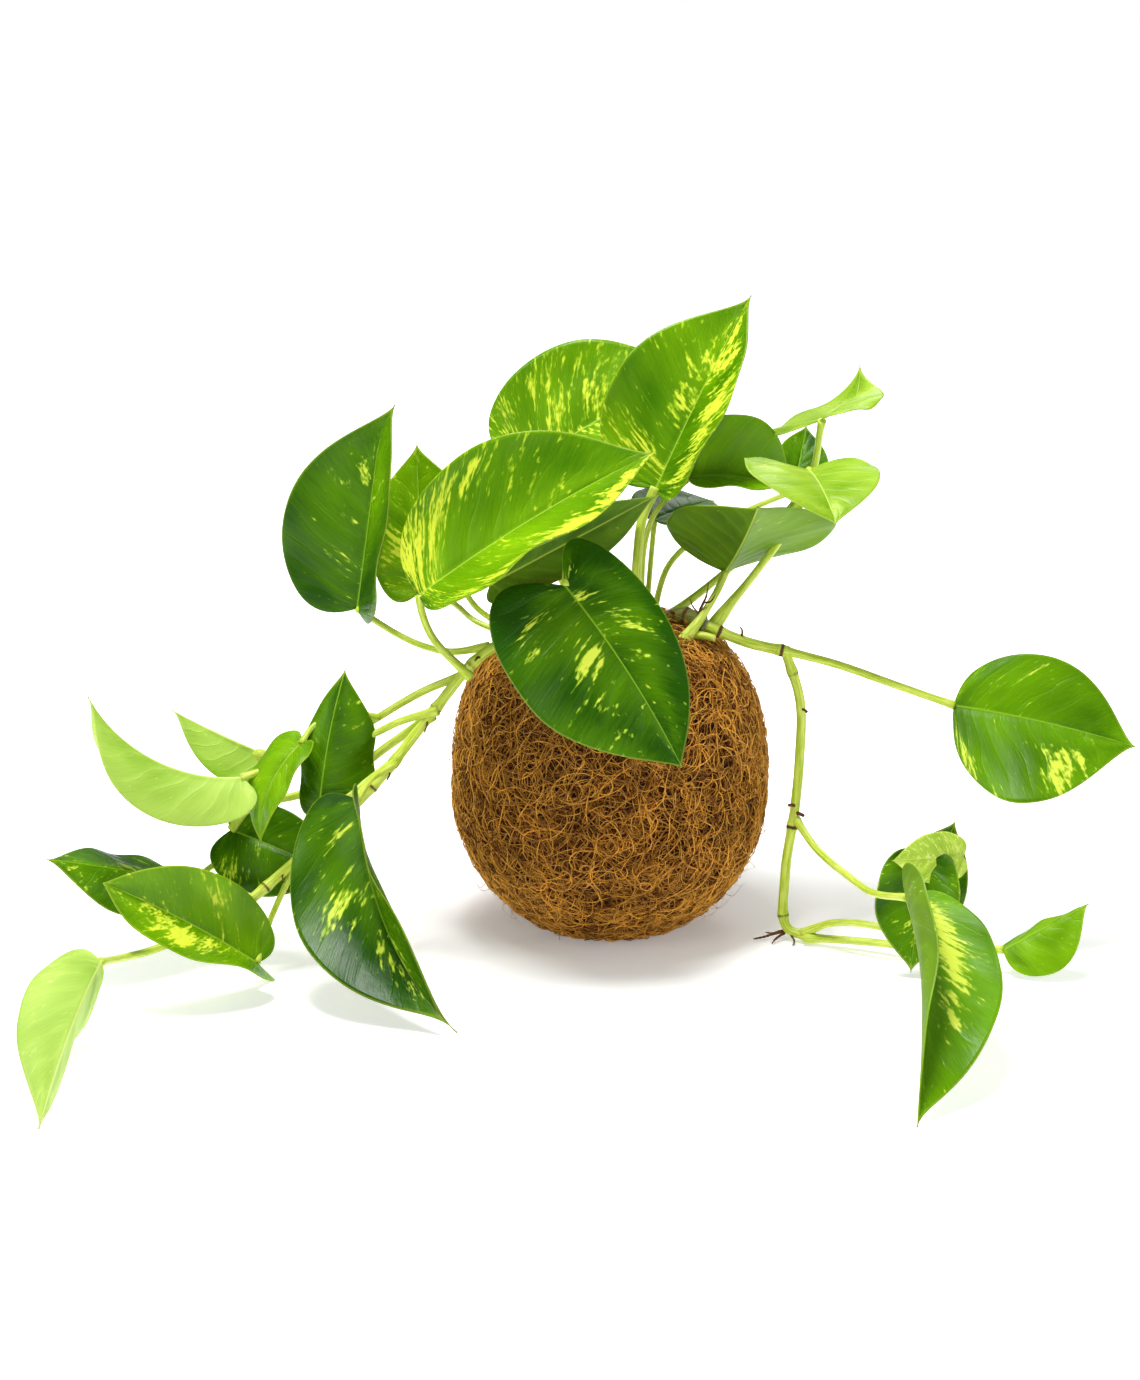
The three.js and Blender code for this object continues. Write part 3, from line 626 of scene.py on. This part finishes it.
def bladeMesh(name, blade, seed):
    make = bladeMake
    bm = bmesh.new()
    bmesh.ops.create_grid(bm, x_segments=make["columns"], y_segments=make["rows"], size=1)
    veinLayer = bm.verts.layers.float_vector.new("vein")
    gaugeLayer = bm.verts.layers.float_vector.new("gauge")
    creamLayer = bm.verts.layers.float.new("cream")
    for vert in bm.verts:
        across = vert.co.x
        angle = math.pi * (vert.co.y + 1) / 2
        ring = max(math.sin(angle), 1e-9)
        part = angle / math.pi
        ahead = (1 - math.cos(angle)) / 2
        reach = ring ** (1 + blade["taper"] * part ** 2)
        margin = ahead ** make["earSweep"] - blade["lobe"] * ring * (1 - part) ** 2
        vein = ahead ** make["ribSweep"]
        out = abs(across)
        along = vein + (margin - vein) * out ** make["earSweep"]
        half = 0 if across < 0 else 1
        hand = 2 * half - 1
        breadth = out * reach
        fold, curl = math.radians(blade["fold"][half]), math.radians(blade["curl"][half])
        width = blade["width"][half]
        sideways = width * arc(math.cos, fold, curl, breadth)
        upwards = width * arc(math.sin, fold, curl, breadth)
        slope = fold + curl * breadth
        point, side, face = midrib(blade, along)
        ribGap = out * reach * width
        edgeGap = (1 - out) * reach * width
        # waves along the margin, puffs between the side veins and the groove of the midrib
        waved = make["waves"] * ahead + make["waveSeed"] * seed + make["waveHalf"] * half
        lift = blade["wave"] * breadth ** make["waveRise"] * math.sin(2 * math.pi * waved)
        phase = bladeSkin["veins"] * ahead ** bladeSkin["veinPower"] + 0.5 * (1 - half)
        swell = abs(math.sin(math.pi * phase)) * math.sin(math.pi * min(out, 1))
        lift += make["puff"] * swell * min(1, reach * 1.5)
        lift -= make["groove"] * math.exp(-(ribGap / make["grooveWidth"]) ** 2) * min(1, reach * 2)
        spot = Vector(a * b for a, b in zip((ahead, across, seed), make["lumpScale"]))
        lift += make["lump"] * min(1, breadth * 2) * noise.noise(spot)
        point += side * hand * (sideways - lift * math.sin(slope)) + face * (upwards + lift * math.cos(slope))
        hookSide, hookUp = blade["hook"]
        past = max(0, (along - make["hookStart"]) / (1 - make["hookStart"]))
        point += (side * hookSide + face * hookUp) * past ** 2
        vert.co = point * mm
        vert[veinLayer] = (ahead, across, seed)
        # the third value is the leaf's shade plus the painted light and painted shade of its light spots
        vert[gaugeLayer] = (ribGap, edgeGap, blade["shade"] + spotSum(blade["paintedLightSpots"], ahead, across))
        vert[creamLayer] = blade["cream"] + spotSum(blade["creamSpots"], ahead, across)
    bmesh.ops.remove_doubles(bm, verts=bm.verts, dist=1e-6)
    return meshFrom(bm, name)


def addBlade(name, blade, seed, skins, nodes=()):
    blade = {**bladeUsual, **blade}
    piece = addPiece(name, bladeMesh(name, blade, seed), skins[blade["slot"]], nodes)
    shell = piece.modifiers.new("thickness", "SOLIDIFY")
    shell.thickness = bladeMake["thickness"] * mm
    shell.offset = 0
    shell.use_even_offset = False
    shell.material_offset = 1
    shell.material_offset_rim = 0


# the corner of the folded leaf that turns over and shows its pale side
flap = {
    "base": (152, -68, 51), "length": 31, "width": (11, 12), "lobe": 0.25, "aim": (184, -2, -80),
    "fold": (6, 6), "curl": (10, 10), "slot": "leaf_pale", "cream": 0.3, "shade": 0.8, "wave": 0.8,
}


def makeBlades(skins):
    for seed, (name, blade) in enumerate(blades.items(), start=1):
        addBlade("blade_" + name, blade, seed, skins, ["leaf_" + name])
    addBlade("blade_flap", flap, len(blades) + 1, skins)
    print("leaves made:", len(blades) + 1)


# Rods: every stem, root and fibre is a straight rod bent along its own path.

rodMeshes = {}


def rodMesh(sides, rings):
    if (sides, rings) not in rodMeshes:
        bm = bmesh.new()
        bmesh.ops.create_cone(bm, cap_ends=True, segments=sides, radius1=1, radius2=1, depth=1)
        rails = [edge for edge in bm.edges if abs(edge.verts[0].co.z - edge.verts[1].co.z) > 0.5]
        bmesh.ops.subdivide_edges(bm, edges=rails, cuts=rings - 2, use_grid_fill=True)
        rodMeshes[sides, rings] = meshFrom(bm, "rod")
    return rodMeshes[sides, rings]


def bendRods(name, sides, paths, radii, ups):
    # paths is rod by ring by xyz, and ups leans away from the surface that the rods lie on
    count, rings, _ = paths.shape
    rod = rodMesh(sides, rings)
    bm = bmesh.new()
    for _ in range(count):
        bm.from_mesh(rod)
    mesh = meshFrom(bm, name)
    unit = np.empty(len(rod.vertices) * 3)
    rod.vertices.foreach_get("co", unit)
    unit = unit.reshape(-1, 3)
    ring = np.rint((unit[:, 2] + 0.5) * (rings - 1)).astype(int)
    ahead = normalised(np.gradient(paths, axis=1))
    side = normalised(np.cross(ups, ahead))
    up = np.cross(ahead, side)
    spread = unit[:, 0, None] * side[:, ring] + unit[:, 1, None] * up[:, ring]
    mesh.vertices.foreach_set("co", (paths[:, ring] + radii[:, ring, None] * spread).ravel())
    mesh.update()
    return mesh, ring, unit


def setValues(mesh, name, kind, field, values):
    data = mesh.attributes.new(name, kind, "POINT").data
    data.foreach_set(field, np.ascontiguousarray(values, dtype=float).ravel())


def setFloats(mesh, name, values):
    setValues(mesh, name, "FLOAT", "value", values)


def setVectors(mesh, name, values):
    setValues(mesh, name, "FLOAT_VECTOR", "vector", values)


# Stems. Routes run outwards, in millimetres; knots are where a node's ring sits along the route.

stems = {
    "rhizome": {
        "slot": "rhizome", "radius": 4, "knots": (0.3, 0.7), "route": [(20, 6, 135), (30, -2, 142),
        (41, -9, 141)]},
    "vine_left_upper": {
        "radius": 2.3, "knots": (0.28, 0.52, 0.72, 0.95), "route": [(-9, -15, 138), (-31, -32, 143),
        (-55, -44, 136), (-78, -48, 110), (-96, -56, 88)]},
    "vine_left_lower": {
        "radius": 2.2, "knots": (0.12, 0.45, 0.72, 0.95), "route": [(-97, -57, 87), (-115, -64, 69),
        (-142, -74, 46), (-159, -84, 34), (-170, -89, 29)]},
    "vine_right_crown": {
        "radius": 2.4, "knots": (0.15, 0.9), "route": [(45, -12, 139), (61, -14, 133), (76, -16, 130)]},
    "vine_right_hanging": {
        "radius": 2.2, "knots": (0.07, 0.57, 0.86, 0.97), "route": [(78, -16, 127), (84, -18, 107),
        (84, -20, 81), (82, -24, 59), (78, -28, 30), (79, -31, 6), (88, -35, 4)]},
    "petiole_left_upright": {
        "radius": 1.6, "route": [(-56, -38, 137), (-70, -34, 134), (-82, -28, 135), (-95, -20, 139),
        (-112, -12, 148)]},
    "petiole_front_cream": {
        "radius": 1.8, "route": [(-63, -47, 128), (-77, -47, 143), (-82, -46, 155), (-83, -45, 162)]},
    "petiole_left_behind": {
        "radius": 1.4, "route": [(-40, -18, 136), (-60, -10, 142), (-68, -3, 147), (-77, -2, 153),
        (-84, -4, 154)]},
    "petiole_shaded": {
        "radius": 1.4, "route": [(-45, -12, 138), (-60, -7, 148), (-64, -8, 156), (-60, -9, 160),
        (-53, -10, 159)]},
    "petiole_top_back": {"radius": 1.8, "route": [(-12, 14, 134), (-27, 30, 165), (-37, 40, 202)]},
    "petiole_top_cream": {
        "radius": 2.4, "route": [(10, -10, 134), (12, -6, 172), (14, -3, 187), (20, 0, 200)]},
    "petiole_front_hanging": {
        "radius": 1.6, "route": [(-12, -14, 134), (-16, -34, 172), (-19, -52, 182), (-20, -66, 171)]},
    "petiole_right_bright": {
        "radius": 1.4, "route": [(14, 4, 134), (15, 8, 171), (20, 9, 187), (35, 8, 203)]},
    "petiole_right_twisted": {
        "radius": 1.8, "route": [(22, 16, 134), (58, 30, 160), (88, 24, 196), (93, 5, 229)]},
    "petiole_right_saddle": {
        "radius": 1.8, "route": [(47, -8, 141), (53, -7, 149), (63, -1, 160), (80, 7, 182), (87, 4, 200),
        (87, -6, 209)]},
    "petiole_right_underside": {
        "radius": 1.8, "route": [(31, -19, 134), (38, -15, 142), (44, -10, 150), (48, -5, 156),
        (51, 0, 162)]},
    "petiole_crown_small": {"radius": 1.3, "route": [(16, 14, 134), (18, 20, 158), (20, 25, 180)]},
    "petiole_crown_inner": {
        "radius": 1.4, "route": [(19, 8, 138), (26, 11, 162), (40, 15, 175), (60, 36, 181), (84, 47, 189)]},
    "petiole_far_right": {
        "radius": 1.9, "route": [(76, -16, 130), (88, -16, 127), (102, -16, 123), (128, -18, 114),
        (152, -20, 106)]},
    "petiole_floor_front": {
        "radius": 1.7, "route": [(83, -25, 54), (90, -50, 49), (101, -85, 48), (110, -115, 50),
        (121, -135, 55)]},
    "petiole_floor_back": {
        "radius": 1.7, "route": [(88, -36, 6), (97, -43, 12), (108, -51, 15), (120, -57, 15),
        (133, -56, 13)]},
    "petiole_floor_speckled": {
        "radius": 1.8, "route": [(89, -38, 3.5), (103, -42, 4), (118, -49, 5), (135, -58, 6),
        (170, -75, 11)]},
    "petiole_left_pale": {
        "radius": 1.7, "route": [(-78, -50, 111), (-92, -47, 106), (-104, -46, 100), (-127, -52, 94),
        (-160, -62, 85)]},
    "petiole_left_pale_back": {
        "radius": 1.8, "route": [(-64, -43, 126), (-83, -39, 117), (-105, -36, 103), (-123, -31, 91),
        (-144, -27, 82)]},
    "petiole_left_shadow": {
        "radius": 2, "route": [(-80, -46, 107), (-98, -41, 93), (-115, -40, 80), (-137, -41, 71),
        (-158, -43, 66), (-167, -45, 56)]},
    "petiole_left_arched": {
        "radius": 1.5, "route": [(-97, -54, 88), (-106, -61, 83), (-115, -67, 77), (-126, -68, 74)]},
    "petiole_left_drooping": {
        "radius": 1.3, "route": [(-104, -39, 106), (-118, -46, 110), (-129, -54, 106), (-134, -60, 100)]},
    "petiole_left_low": {
        "radius": 1.5, "route": [(-117, -60, 67), (-135, -38, 56), (-160, -33, 47), (-184, -66, 38)]},
    "petiole_left_spread": {
        "radius": 1.4, "route": [(-136, -72, 50), (-147, -79, 27), (-151, -88, 16), (-152, -95, 12)]},
    "petiole_left_long": {"radius": 1.7, "route": [(-96, -59, 89), (-104, -69, 86), (-109, -81, 81)]},
    "petiole_left_tip": {
        "radius": 1.8, "route": [(-171, -90, 28), (-181, -94, 24), (-195, -110, 23), (-204, -130, 27),
        (-210, -155, 34)]},
}
stemMake = {
    "sides": 14, "ringStep": 1.6, "join": 3, "narrows": 0.12, "knotSwell": 0.22, "knotLength": 2.2,
    "footSwell": 0.35, "footLength": 7, "neckSwell": 0.22, "neckLength": 5, "sheath": 0.85, "sheathLength": 13,
    # how strong a bark ring is, how long, and how far it sits past its knot
    "footRing": 0.35, "footRingLength": 1.2, "knotRing": 0.9, "knotRingLength": 0.9, "knotRingShift": 0.8,
    "grainShift": 31,
}
sheathed = ("petiole_right_saddle", "petiole_right_twisted", "petiole_right_underside")
routeSamples = 24  # between two points of a route


def smoothRoute(route, ringStep):
    # a centripetal Catmull-Rom curve through the route's points, with rings evenly spaced
    points = [Vector(point) for point in route]
    points = [2 * points[0] - points[1], *points, 2 * points[-1] - points[-2]]
    samples = []
    for a, b, c, d in zip(points, points[1:], points[2:], points[3:]):
        ta = 0.0
        tb = ta + (b - a).length ** 0.5
        tc = tb + (c - b).length ** 0.5
        td = tc + (d - c).length ** 0.5
        for i in range(routeSamples):
            t = tb + (tc - tb) * i / routeSamples
            ab = a.lerp(b, (t - ta) / (tb - ta))
            bc = b.lerp(c, (t - tb) / (tc - tb))
            cd = c.lerp(d, (t - tc) / (td - tc))
            early = ab.lerp(bc, (t - ta) / (tc - ta))
            late = bc.lerp(cd, (t - tb) / (td - tb))
            samples.append(early.lerp(late, (t - tb) / (tc - tb)))
    samples.append(points[-2])
    samples = np.array(samples)
    gone = np.concatenate([[0], np.cumsum(np.linalg.norm(np.diff(samples, axis=0), axis=1))])
    rings = max(6, math.ceil(gone[-1] / ringStep))
    marks = np.linspace(0, gone[-1], rings)
    return np.stack([np.interp(marks, gone, samples[:, k]) for k in range(3)], axis=1), marks


def steadyUps(path):
    # carries one sideways direction along the path without twisting it
    ahead = np.gradient(path, axis=0)
    ups = []
    up = Vector((0.31, 0.52, 0.79))
    for tangent in ahead:
        tangent = Vector(tangent).normalized()
        up = (up - tangent * up.dot(tangent)).normalized()
        ups.append(up)
    return np.array(ups)


def bump(gap, width):
    return np.exp(-(gap / width) ** 2)


def oneRod(name, sides, path, radii, marks):
    # one rod, the ring that each point is in, and where the point lies across and along
    mesh, order, unit = bendRods(name, sides, path[None], radii[None], steadyUps(path)[None])
    return mesh, order, np.column_stack([unit[:, :2] * radii[order, None], marks[order]])


def makeStems(skins):
    make = stemMake
    for name, stem in stems.items():
        route = [Vector(point) for point in stem["route"]]
        # the start, and a vine's end, run on into the neighbour
        route[0] += make["join"] * (route[0] - route[1]).normalized()
        if name.startswith("vine"):
            route[-1] += make["join"] * (route[-1] - route[-2]).normalized()
        for point in route:
            point.z = max(point.z, stem["radius"])
        path, marks = smoothRoute(route, make["ringStep"])
        length = marks[-1]
        radii = np.full(len(path), float(stem["radius"]))
        ring = np.zeros(len(path))
        if name.startswith("petiole"):
            foot, footLength = make["footSwell"], make["footLength"]
            if name in sheathed:
                foot, footLength = make["sheath"], make["sheathLength"]
            radii *= 1 + foot * bump(marks, footLength)
            radii *= 1 - make["narrows"] * marks / length
            radii *= 1 + make["neckSwell"] * bump(length - marks, make["neckLength"])
            ring += make["footRing"] * bump(marks, make["footRingLength"])
        for knot in stem.get("knots", ()):
            gap = marks - knot * length
            radii *= 1 + make["knotSwell"] * bump(gap, make["knotLength"])
            ring += make["knotRing"] * bump(gap - make["knotRingShift"], make["knotRingLength"])
        marks = marks + make["grainShift"] * len(name)
        mesh, order, grain = oneRod("stem_" + name, make["sides"], path, radii, marks)
        setVectors(mesh, "grain", grain)
        setFloats(mesh, "ring", ring[order])
        for vert in mesh.vertices:
            vert.co *= mm
        slotName = stem.get("slot", "stem")
        addPiece("stem_" + name, mesh, [skins[slotName]], [name])
    print("stems made:", len(stems))


# Trim that has no solid of its own. Each entry is the piece's name: material, slot, then rods of
# (thickness in millimetres, how far the end narrows, route).

trim = {
    "crownRoots": ("root", "rhizome", [
        (0.75, 0.7, [(38, -12, 143), (40, -13, 149), (42, -14, 154), (43, -14, 160)]),
        (0.5, 0.6, [(39, -13, 146), (36, -15, 150), (35, -15, 153)]),
        (0.5, 0.6, [(41, -13, 151), (44, -15, 152), (46, -15, 155)]),
        (0.8, 0.3, [(28, -5, 144), (26, -9, 146), (25, -11, 145)]),
        (0.6, 0.5, [(58, -14, 136), (58, -16, 139), (57, -17, 141)]),
    ]),
    "leftRoots": ("root", "rhizome", [
        (0.6, 0.4, [(-56, -45, 134), (-58, -48, 135), (-59, -50, 134)]),
        (0.5, 0.4, [(-80, -49, 108), (-80, -52, 106), (-81, -54, 103)]),
        (0.5, 0.4, [(-97, -57, 88), (-96, -60, 86), (-97, -62, 84)]),
        (0.6, 0.4, [(-116, -65, 68), (-117, -67, 66), (-116, -69, 64)]),
        (0.5, 0.4, [(-141, -74, 46), (-142, -77, 45), (-141, -79, 43)]),
        (0.5, 0.4, [(-169, -89, 30), (-170, -91, 28), (-169, -93, 25)]),
    ]),
    "footRoots": ("root", "rhizome", [
        (0.9, 0.6, [(79, -30, 4.5), (74, -30, 3), (69, -31, 1.6), (64, -32, 0.9)]),
        (0.7, 0.6, [(78, -31, 3.5), (74, -34, 1.8), (72, -38, 0.9)]),
        (0.6, 0.6, [(78, -29, 4), (73, -26, 1.6), (70, -23, 0.9)]),
        (0.6, 0.6, [(80, -32, 4), (82, -37, 1.6), (81, -41, 0.9)]),
    ]),
    "vineNubs": ("root", "rhizome", [
        (0.9, 0.2, [(82, -25, 58), (85, -27, 57.5), (86, -27.5, 57)]),
        (0.8, 0.2, [(82, -25, 61), (80, -27, 62), (79, -27.5, 62)]),
        (0.7, 0.3, [(84, -19, 104), (86, -21, 104), (87, -21.5, 103)]),
    ]),
    "crownStub": ("stem", "stem", [
        (1.9, 0.15, [(30, -13, 134), (36, -15, 136.5), (41, -17, 137), (46, -18, 136)]),
        (2.2, 0.2, [(-30, -20, 136), (-22, -17, 137), (-16, -12, 135)]),
        (1.2, 0.2, [(127, -57, 15), (131, -60, 28), (135, -64, 42), (136, -66, 48)]),
    ]),
    "leafBud": ("stem", "stem", [
        (2.9, 1.0, [(-149, -44, 88), (-151.5, -44.5, 89.5), (-154, -45, 90.5), (-156.5, -45.5, 91)]),
    ]),
}
trimMake = {"sides": 8, "ringStep": 0.8, "wander": 0.12, "budEnd": 0.02, "clear": 0.05, "seed": 7}


def makeTrim(skins):
    make = trimMake
    random = np.random.default_rng(make["seed"])
    for name, (skin, slotName, rods) in trim.items():
        bm = bmesh.new()
        grain = []
        for thickness, narrows, route in rods:
            path, marks = smoothRoute(route, make["ringStep"])
            part = marks / marks[-1]
            radii = thickness * (1 - narrows * part ** 1.5)
            if name == "leafBud":
                radii = thickness * np.sqrt(np.clip(1 - (2 * part - 1) ** 2, make["budEnd"], 1))
            radii = radii * (1 + random.normal(0, make["wander"], len(path)) * (skin == "root"))
            path[:, 2] = np.maximum(path[:, 2], radii + make["clear"])
            mesh, _, places = oneRod("rod", make["sides"], path, radii, marks)
            bm.from_mesh(mesh)
            bpy.data.meshes.remove(mesh)
            grain.append(places)
        bmesh.ops.scale(bm, vec=(mm, mm, mm), verts=bm.verts)
        mesh = meshFrom(bm, name)
        setVectors(mesh, "grain", np.concatenate(grain))
        setFloats(mesh, "ring", np.zeros(len(mesh.vertices)))
        addPiece(name, mesh, [skins[skin]])
    print("trim made:", len(trim))


# Ball

ball = {
    "radius": 70, "foot": 30, "shoulder": 80, "power": 2.6, "wrap": 5, "mouth": 34, "topAngle": 1.45,
    "steps": 120, "rings": 56, "matInset": 1.6, "matRough": (4, 1.4), "matTone": 0.35,
    "soilGap": 0.3, "crown": 2, "crownSteps": 14, "soilRough": (5, 1.6), "soilTone": 0.4,
}
fibres = {
    "batches": 6, "each": 2300, "rings": 13, "sides": 3, "step": (1.4, 3.6), "radius": (0.13, 0.33),
    "endTaper": 0.75, "depth": (-2.6, 1.0), "weave": 0.8, "weaveRate": (0.5, 1.1), "turn": 0.3,
    # tone is the middle tone, how much it darkens with depth as painted shade between the fibres, and the
    # random spread
    "wander": 0.12, "mouthDrop": 0.4, "clear": 0.35, "tone": (0.48, 0.3, 0.34), "seed": 11,
}
looseFibres = {
    "each": 900, "rings": 11, "sides": 3, "step": (0.9, 2.2), "radius": (0.09, 0.18), "endTaper": 0.35,
    "height": (-0.85, 0.93), "sink": 0.6, "near": (-0.5, 5), "rise": (0.15, 0.8), "turn": 0.35,
    "clear": 0.4, "tone": (0.6, 0.2), "seed": 29,
}


def wallRadius(direction):
    # how far the ball's wall is from its centre, in each direction
    flat = np.hypot(direction[..., 0], direction[..., 1])
    high = np.maximum(direction[..., 2], 0)
    power = ball["power"]
    upper = ((flat / ball["radius"]) ** power + (high / ball["shoulder"]) ** power) ** (-1 / power)
    return np.where(direction[..., 2] < 0, ball["radius"], upper)


ballCentre = np.array([0, 0, math.sqrt(ball["radius"] ** 2 - ball["foot"] ** 2)])


def wallProfile(inset):
    # the wall from the foot to the mouth, moved inwards by inset
    lowest = math.asin((inset - ballCentre[2]) / (ball["radius"] - inset))
    points = []
    for i in range(ball["rings"] + 1):
        angle = lowest + (ball["topAngle"] - lowest) * i / ball["rings"]
        reach = float(wallRadius(np.array([math.cos(angle), 0.0, math.sin(angle)]))) - inset
        if reach * math.cos(angle) > ball["mouth"] or angle < 0:
            points.append((reach * math.cos(angle), 0, ballCentre[2] + reach * math.sin(angle)))
    return points


def spun(name, profile):
    bm = bmesh.new()
    verts = [bm.verts.new([value * mm for value in point]) for point in profile]
    edges = [bm.edges.new(pair) for pair in zip(verts, verts[1:])]
    bmesh.ops.spin(bm, geom=verts + edges, cent=(0, 0, 0), axis=(0, 0, 1), angle=2 * math.pi,
                   steps=ball["steps"], use_merge=True)
    bmesh.ops.remove_doubles(bm, verts=bm.verts, dist=1e-6)
    bmesh.ops.recalc_face_normals(bm, faces=bm.faces)
    return meshFrom(bm, name)


def roughen(mesh, size, amount):
    # moves each point in or out by a smooth random amount
    normals = [item.vector.copy() for item in mesh.vertex_normals]
    for vert, normal in zip(mesh.vertices, normals):
        vert.co += normal * amount * mm * noise.noise(vert.co / (size * mm))
    mesh.update()


def makeFibres(skins):
    random = np.random.default_rng(fibres["seed"])
    for batch in range(fibres["batches"]):
        count, rings = fibres["each"], fibres["rings"]
        direction = normalised(random.normal(size=(count, 3)))
        inMouth = np.hypot(direction[:, 0], direction[:, 1]) * wallRadius(direction) < ball["mouth"]
        direction[inMouth & (direction[:, 2] > 0), 2] *= fibres["mouthDrop"]
        direction = normalised(direction)
        course = normalised(np.cross(direction, random.normal(size=(count, 3))))
        stride = random.uniform(*fibres["step"], count)
        bend = random.normal(0, fibres["turn"], count)
        depth = random.uniform(*fibres["depth"], count)
        phase = random.uniform(0, 2 * math.pi, count)
        wave = random.uniform(*fibres["weaveRate"], count)
        places, ups = [], []
        for ring in range(rings):
            lift = depth + fibres["weave"] * np.sin(phase + wave * ring)
            reach = wallRadius(direction) + lift
            spot = ballCentre + direction * reach[:, None]
            spot[:, 2] = np.maximum(spot[:, 2], fibres["clear"])
            places.append(spot)
            ups.append(direction)
            bend += random.normal(0, fibres["wander"], count)
            turn = bend[:, None]
            course = course * np.cos(turn) + np.cross(direction, course) * np.sin(turn)
            direction = normalised(direction + course * (stride / reach)[:, None])
            course = normalised(course - direction * np.sum(course * direction, axis=1, keepdims=True))
        paths = np.stack(places, axis=1)
        taper = 1 - fibres["endTaper"] * np.abs(np.linspace(-1, 1, rings)) ** 4
        thick = random.uniform(*fibres["radius"], count)[:, None] * taper
        # fibres lying deeper in the wall are darker: painted shade in the gaps between fibres
        middle, depthShade, spread = fibres["tone"]
        tone = np.clip(middle + depthShade * depth + random.normal(0, spread, count), 0, 1)
        name = "coirFibres" + "ABCDEF"[batch]
        addFibres(name, fibres["sides"], paths, thick, np.stack(ups, axis=1), tone, skins)
    print("fibres made:", fibres["batches"] * fibres["each"])


def addFibres(name, sides, paths, thick, ups, tone, skins):
    mesh, ring, _ = bendRods(name, sides, paths * mm, thick * mm, ups)
    setFloats(mesh, "tone", np.repeat(tone, len(ring)))
    addPiece(name, mesh, [skins["coirFibre"]])


def makeLooseFibres(skins):
    make = looseFibres
    random = np.random.default_rng(make["seed"])
    count, rings = make["each"], make["rings"]
    high = random.uniform(*make["height"], count)
    around = random.uniform(0, 2 * math.pi, count)
    flat = np.sqrt(1 - high ** 2)
    direction = np.stack([flat * np.cos(around), flat * np.sin(around), high], axis=1)
    spot = ballCentre + direction * (wallRadius(direction) - make["sink"])[:, None]
    course = normalised(np.cross(direction, random.normal(size=(count, 3))))
    course += direction * random.uniform(*make["rise"], count)[:, None]
    stride = random.uniform(*make["step"], count)[:, None]
    axis = normalised(random.normal(size=(count, 3)))
    lowest, highest = make["near"]
    places = []
    for ring in range(rings):
        places.append(spot.copy())
        course = normalised(course + np.cross(axis, course) * make["turn"])
        fromCentre = spot + course * stride - ballCentre
        away = np.linalg.norm(fromCentre, axis=1, keepdims=True)
        wall = wallRadius(fromCentre / away)[:, None]
        spot = ballCentre + fromCentre / away * np.clip(away, wall + lowest, wall + highest)
        spot[:, 2] = np.maximum(spot[:, 2], make["clear"])
    paths = np.stack(places, axis=1)
    ups = np.repeat(direction[:, None], rings, axis=1)
    thick = random.uniform(*make["radius"], count)[:, None] * np.linspace(1, make["endTaper"], rings)
    tone = np.clip(random.normal(*make["tone"], count), 0, 1)
    addFibres("coirLooseFibres", make["sides"], paths, thick, ups, tone, skins)
    print("loose fibres made:", count)


crumbs = {
    "count": 520, "rings": 4, "sides": 5, "size": (0.5, 1.7), "reach": 33, "height": (133.2, 135.4),
    "stretch": 1.3, "girth": (0.6, 1.1), "taper": 1.6, "tone": (0.35, 0.3), "seed": 5,
}


def makeCrumbs(skins):
    # short thick rods, each a crumb of soil in the mouth
    random = np.random.default_rng(crumbs["seed"])
    count, rings = crumbs["count"], crumbs["rings"]
    size = random.uniform(*crumbs["size"], count)
    around = random.uniform(0, 2 * math.pi, count)
    reach = crumbs["reach"] * np.sqrt(random.uniform(0, 1, count))
    height = random.uniform(*crumbs["height"], count) - (reach / crumbs["reach"]) ** 2
    spot = np.stack([reach * np.cos(around), reach * np.sin(around), height], axis=1)
    course = normalised(random.normal(size=(count, 3)))
    part = np.linspace(-0.5, 0.5, rings)
    along = part[None, :, None] * size[:, None, None]
    paths = spot[:, None] + course[:, None] * along * crumbs["stretch"]
    girth = random.uniform(*crumbs["girth"], (count, rings)) * (1 - crumbs["taper"] * part ** 2)
    thick = size[:, None] / 2 * girth
    ups = np.cross(course, random.normal(size=(count, 3)))
    ups = np.repeat(ups[:, None], rings, axis=1)
    mesh, ring, _ = bendRods("soilCrumbs", crumbs["sides"], paths * mm, thick * mm, ups)
    tone = np.clip(random.normal(*crumbs["tone"], count), 0, 1)
    setFloats(mesh, "tone", np.repeat(tone, len(ring)))
    addPiece("soilCrumbs", mesh, [skins["pottingSoil"]])
    print("crumbs made:", count)


def makeBall(skins):
    outer = wallProfile(ball["matInset"])
    inner = wallProfile(ball["wrap"])[::-1]
    profile = [(0, 0, ball["matInset"]), *outer, *inner, (0, 0, ball["wrap"])]
    mat = spun("coirMat", profile)
    roughen(mat, *ball["matRough"])
    # the mat's dark colour is painted shade for the gaps between fibres
    setFloats(mat, "tone", np.full(len(mat.vertices), ball["matTone"]))
    addPiece("coirMat", mat, [skins["coirMat"]], ["coir_wrap"])
    wall = wallProfile(ball["wrap"] + ball["soilGap"])
    edge, _, top = wall[-1]
    steps = ball["crownSteps"]
    crown = [(edge * (1 - i / steps), 0, top + ball["crown"] * math.sin(math.pi / 2 * i / steps))
             for i in range(1, steps + 1)]
    soil = spun("soilCore", [(0, 0, ball["wrap"] + ball["soilGap"]), *wall, *crown])
    roughen(soil, *ball["soilRough"])
    setFloats(soil, "tone", np.full(len(soil.vertices), ball["soilTone"]))
    addPiece("soilCore", soil, [skins["pottingSoil"]], ["soil_core"])
    print("ball made")


makeStudio()
makeBlades(bladeMaterials())
stemSkins = stemMaterials()
makeStems(stemSkins)
makeTrim(stemSkins)
coir = fibreMaterials()
makeBall(coir)
makeCrumbs(coir)
makeFibres(coir)
makeLooseFibres(coir)
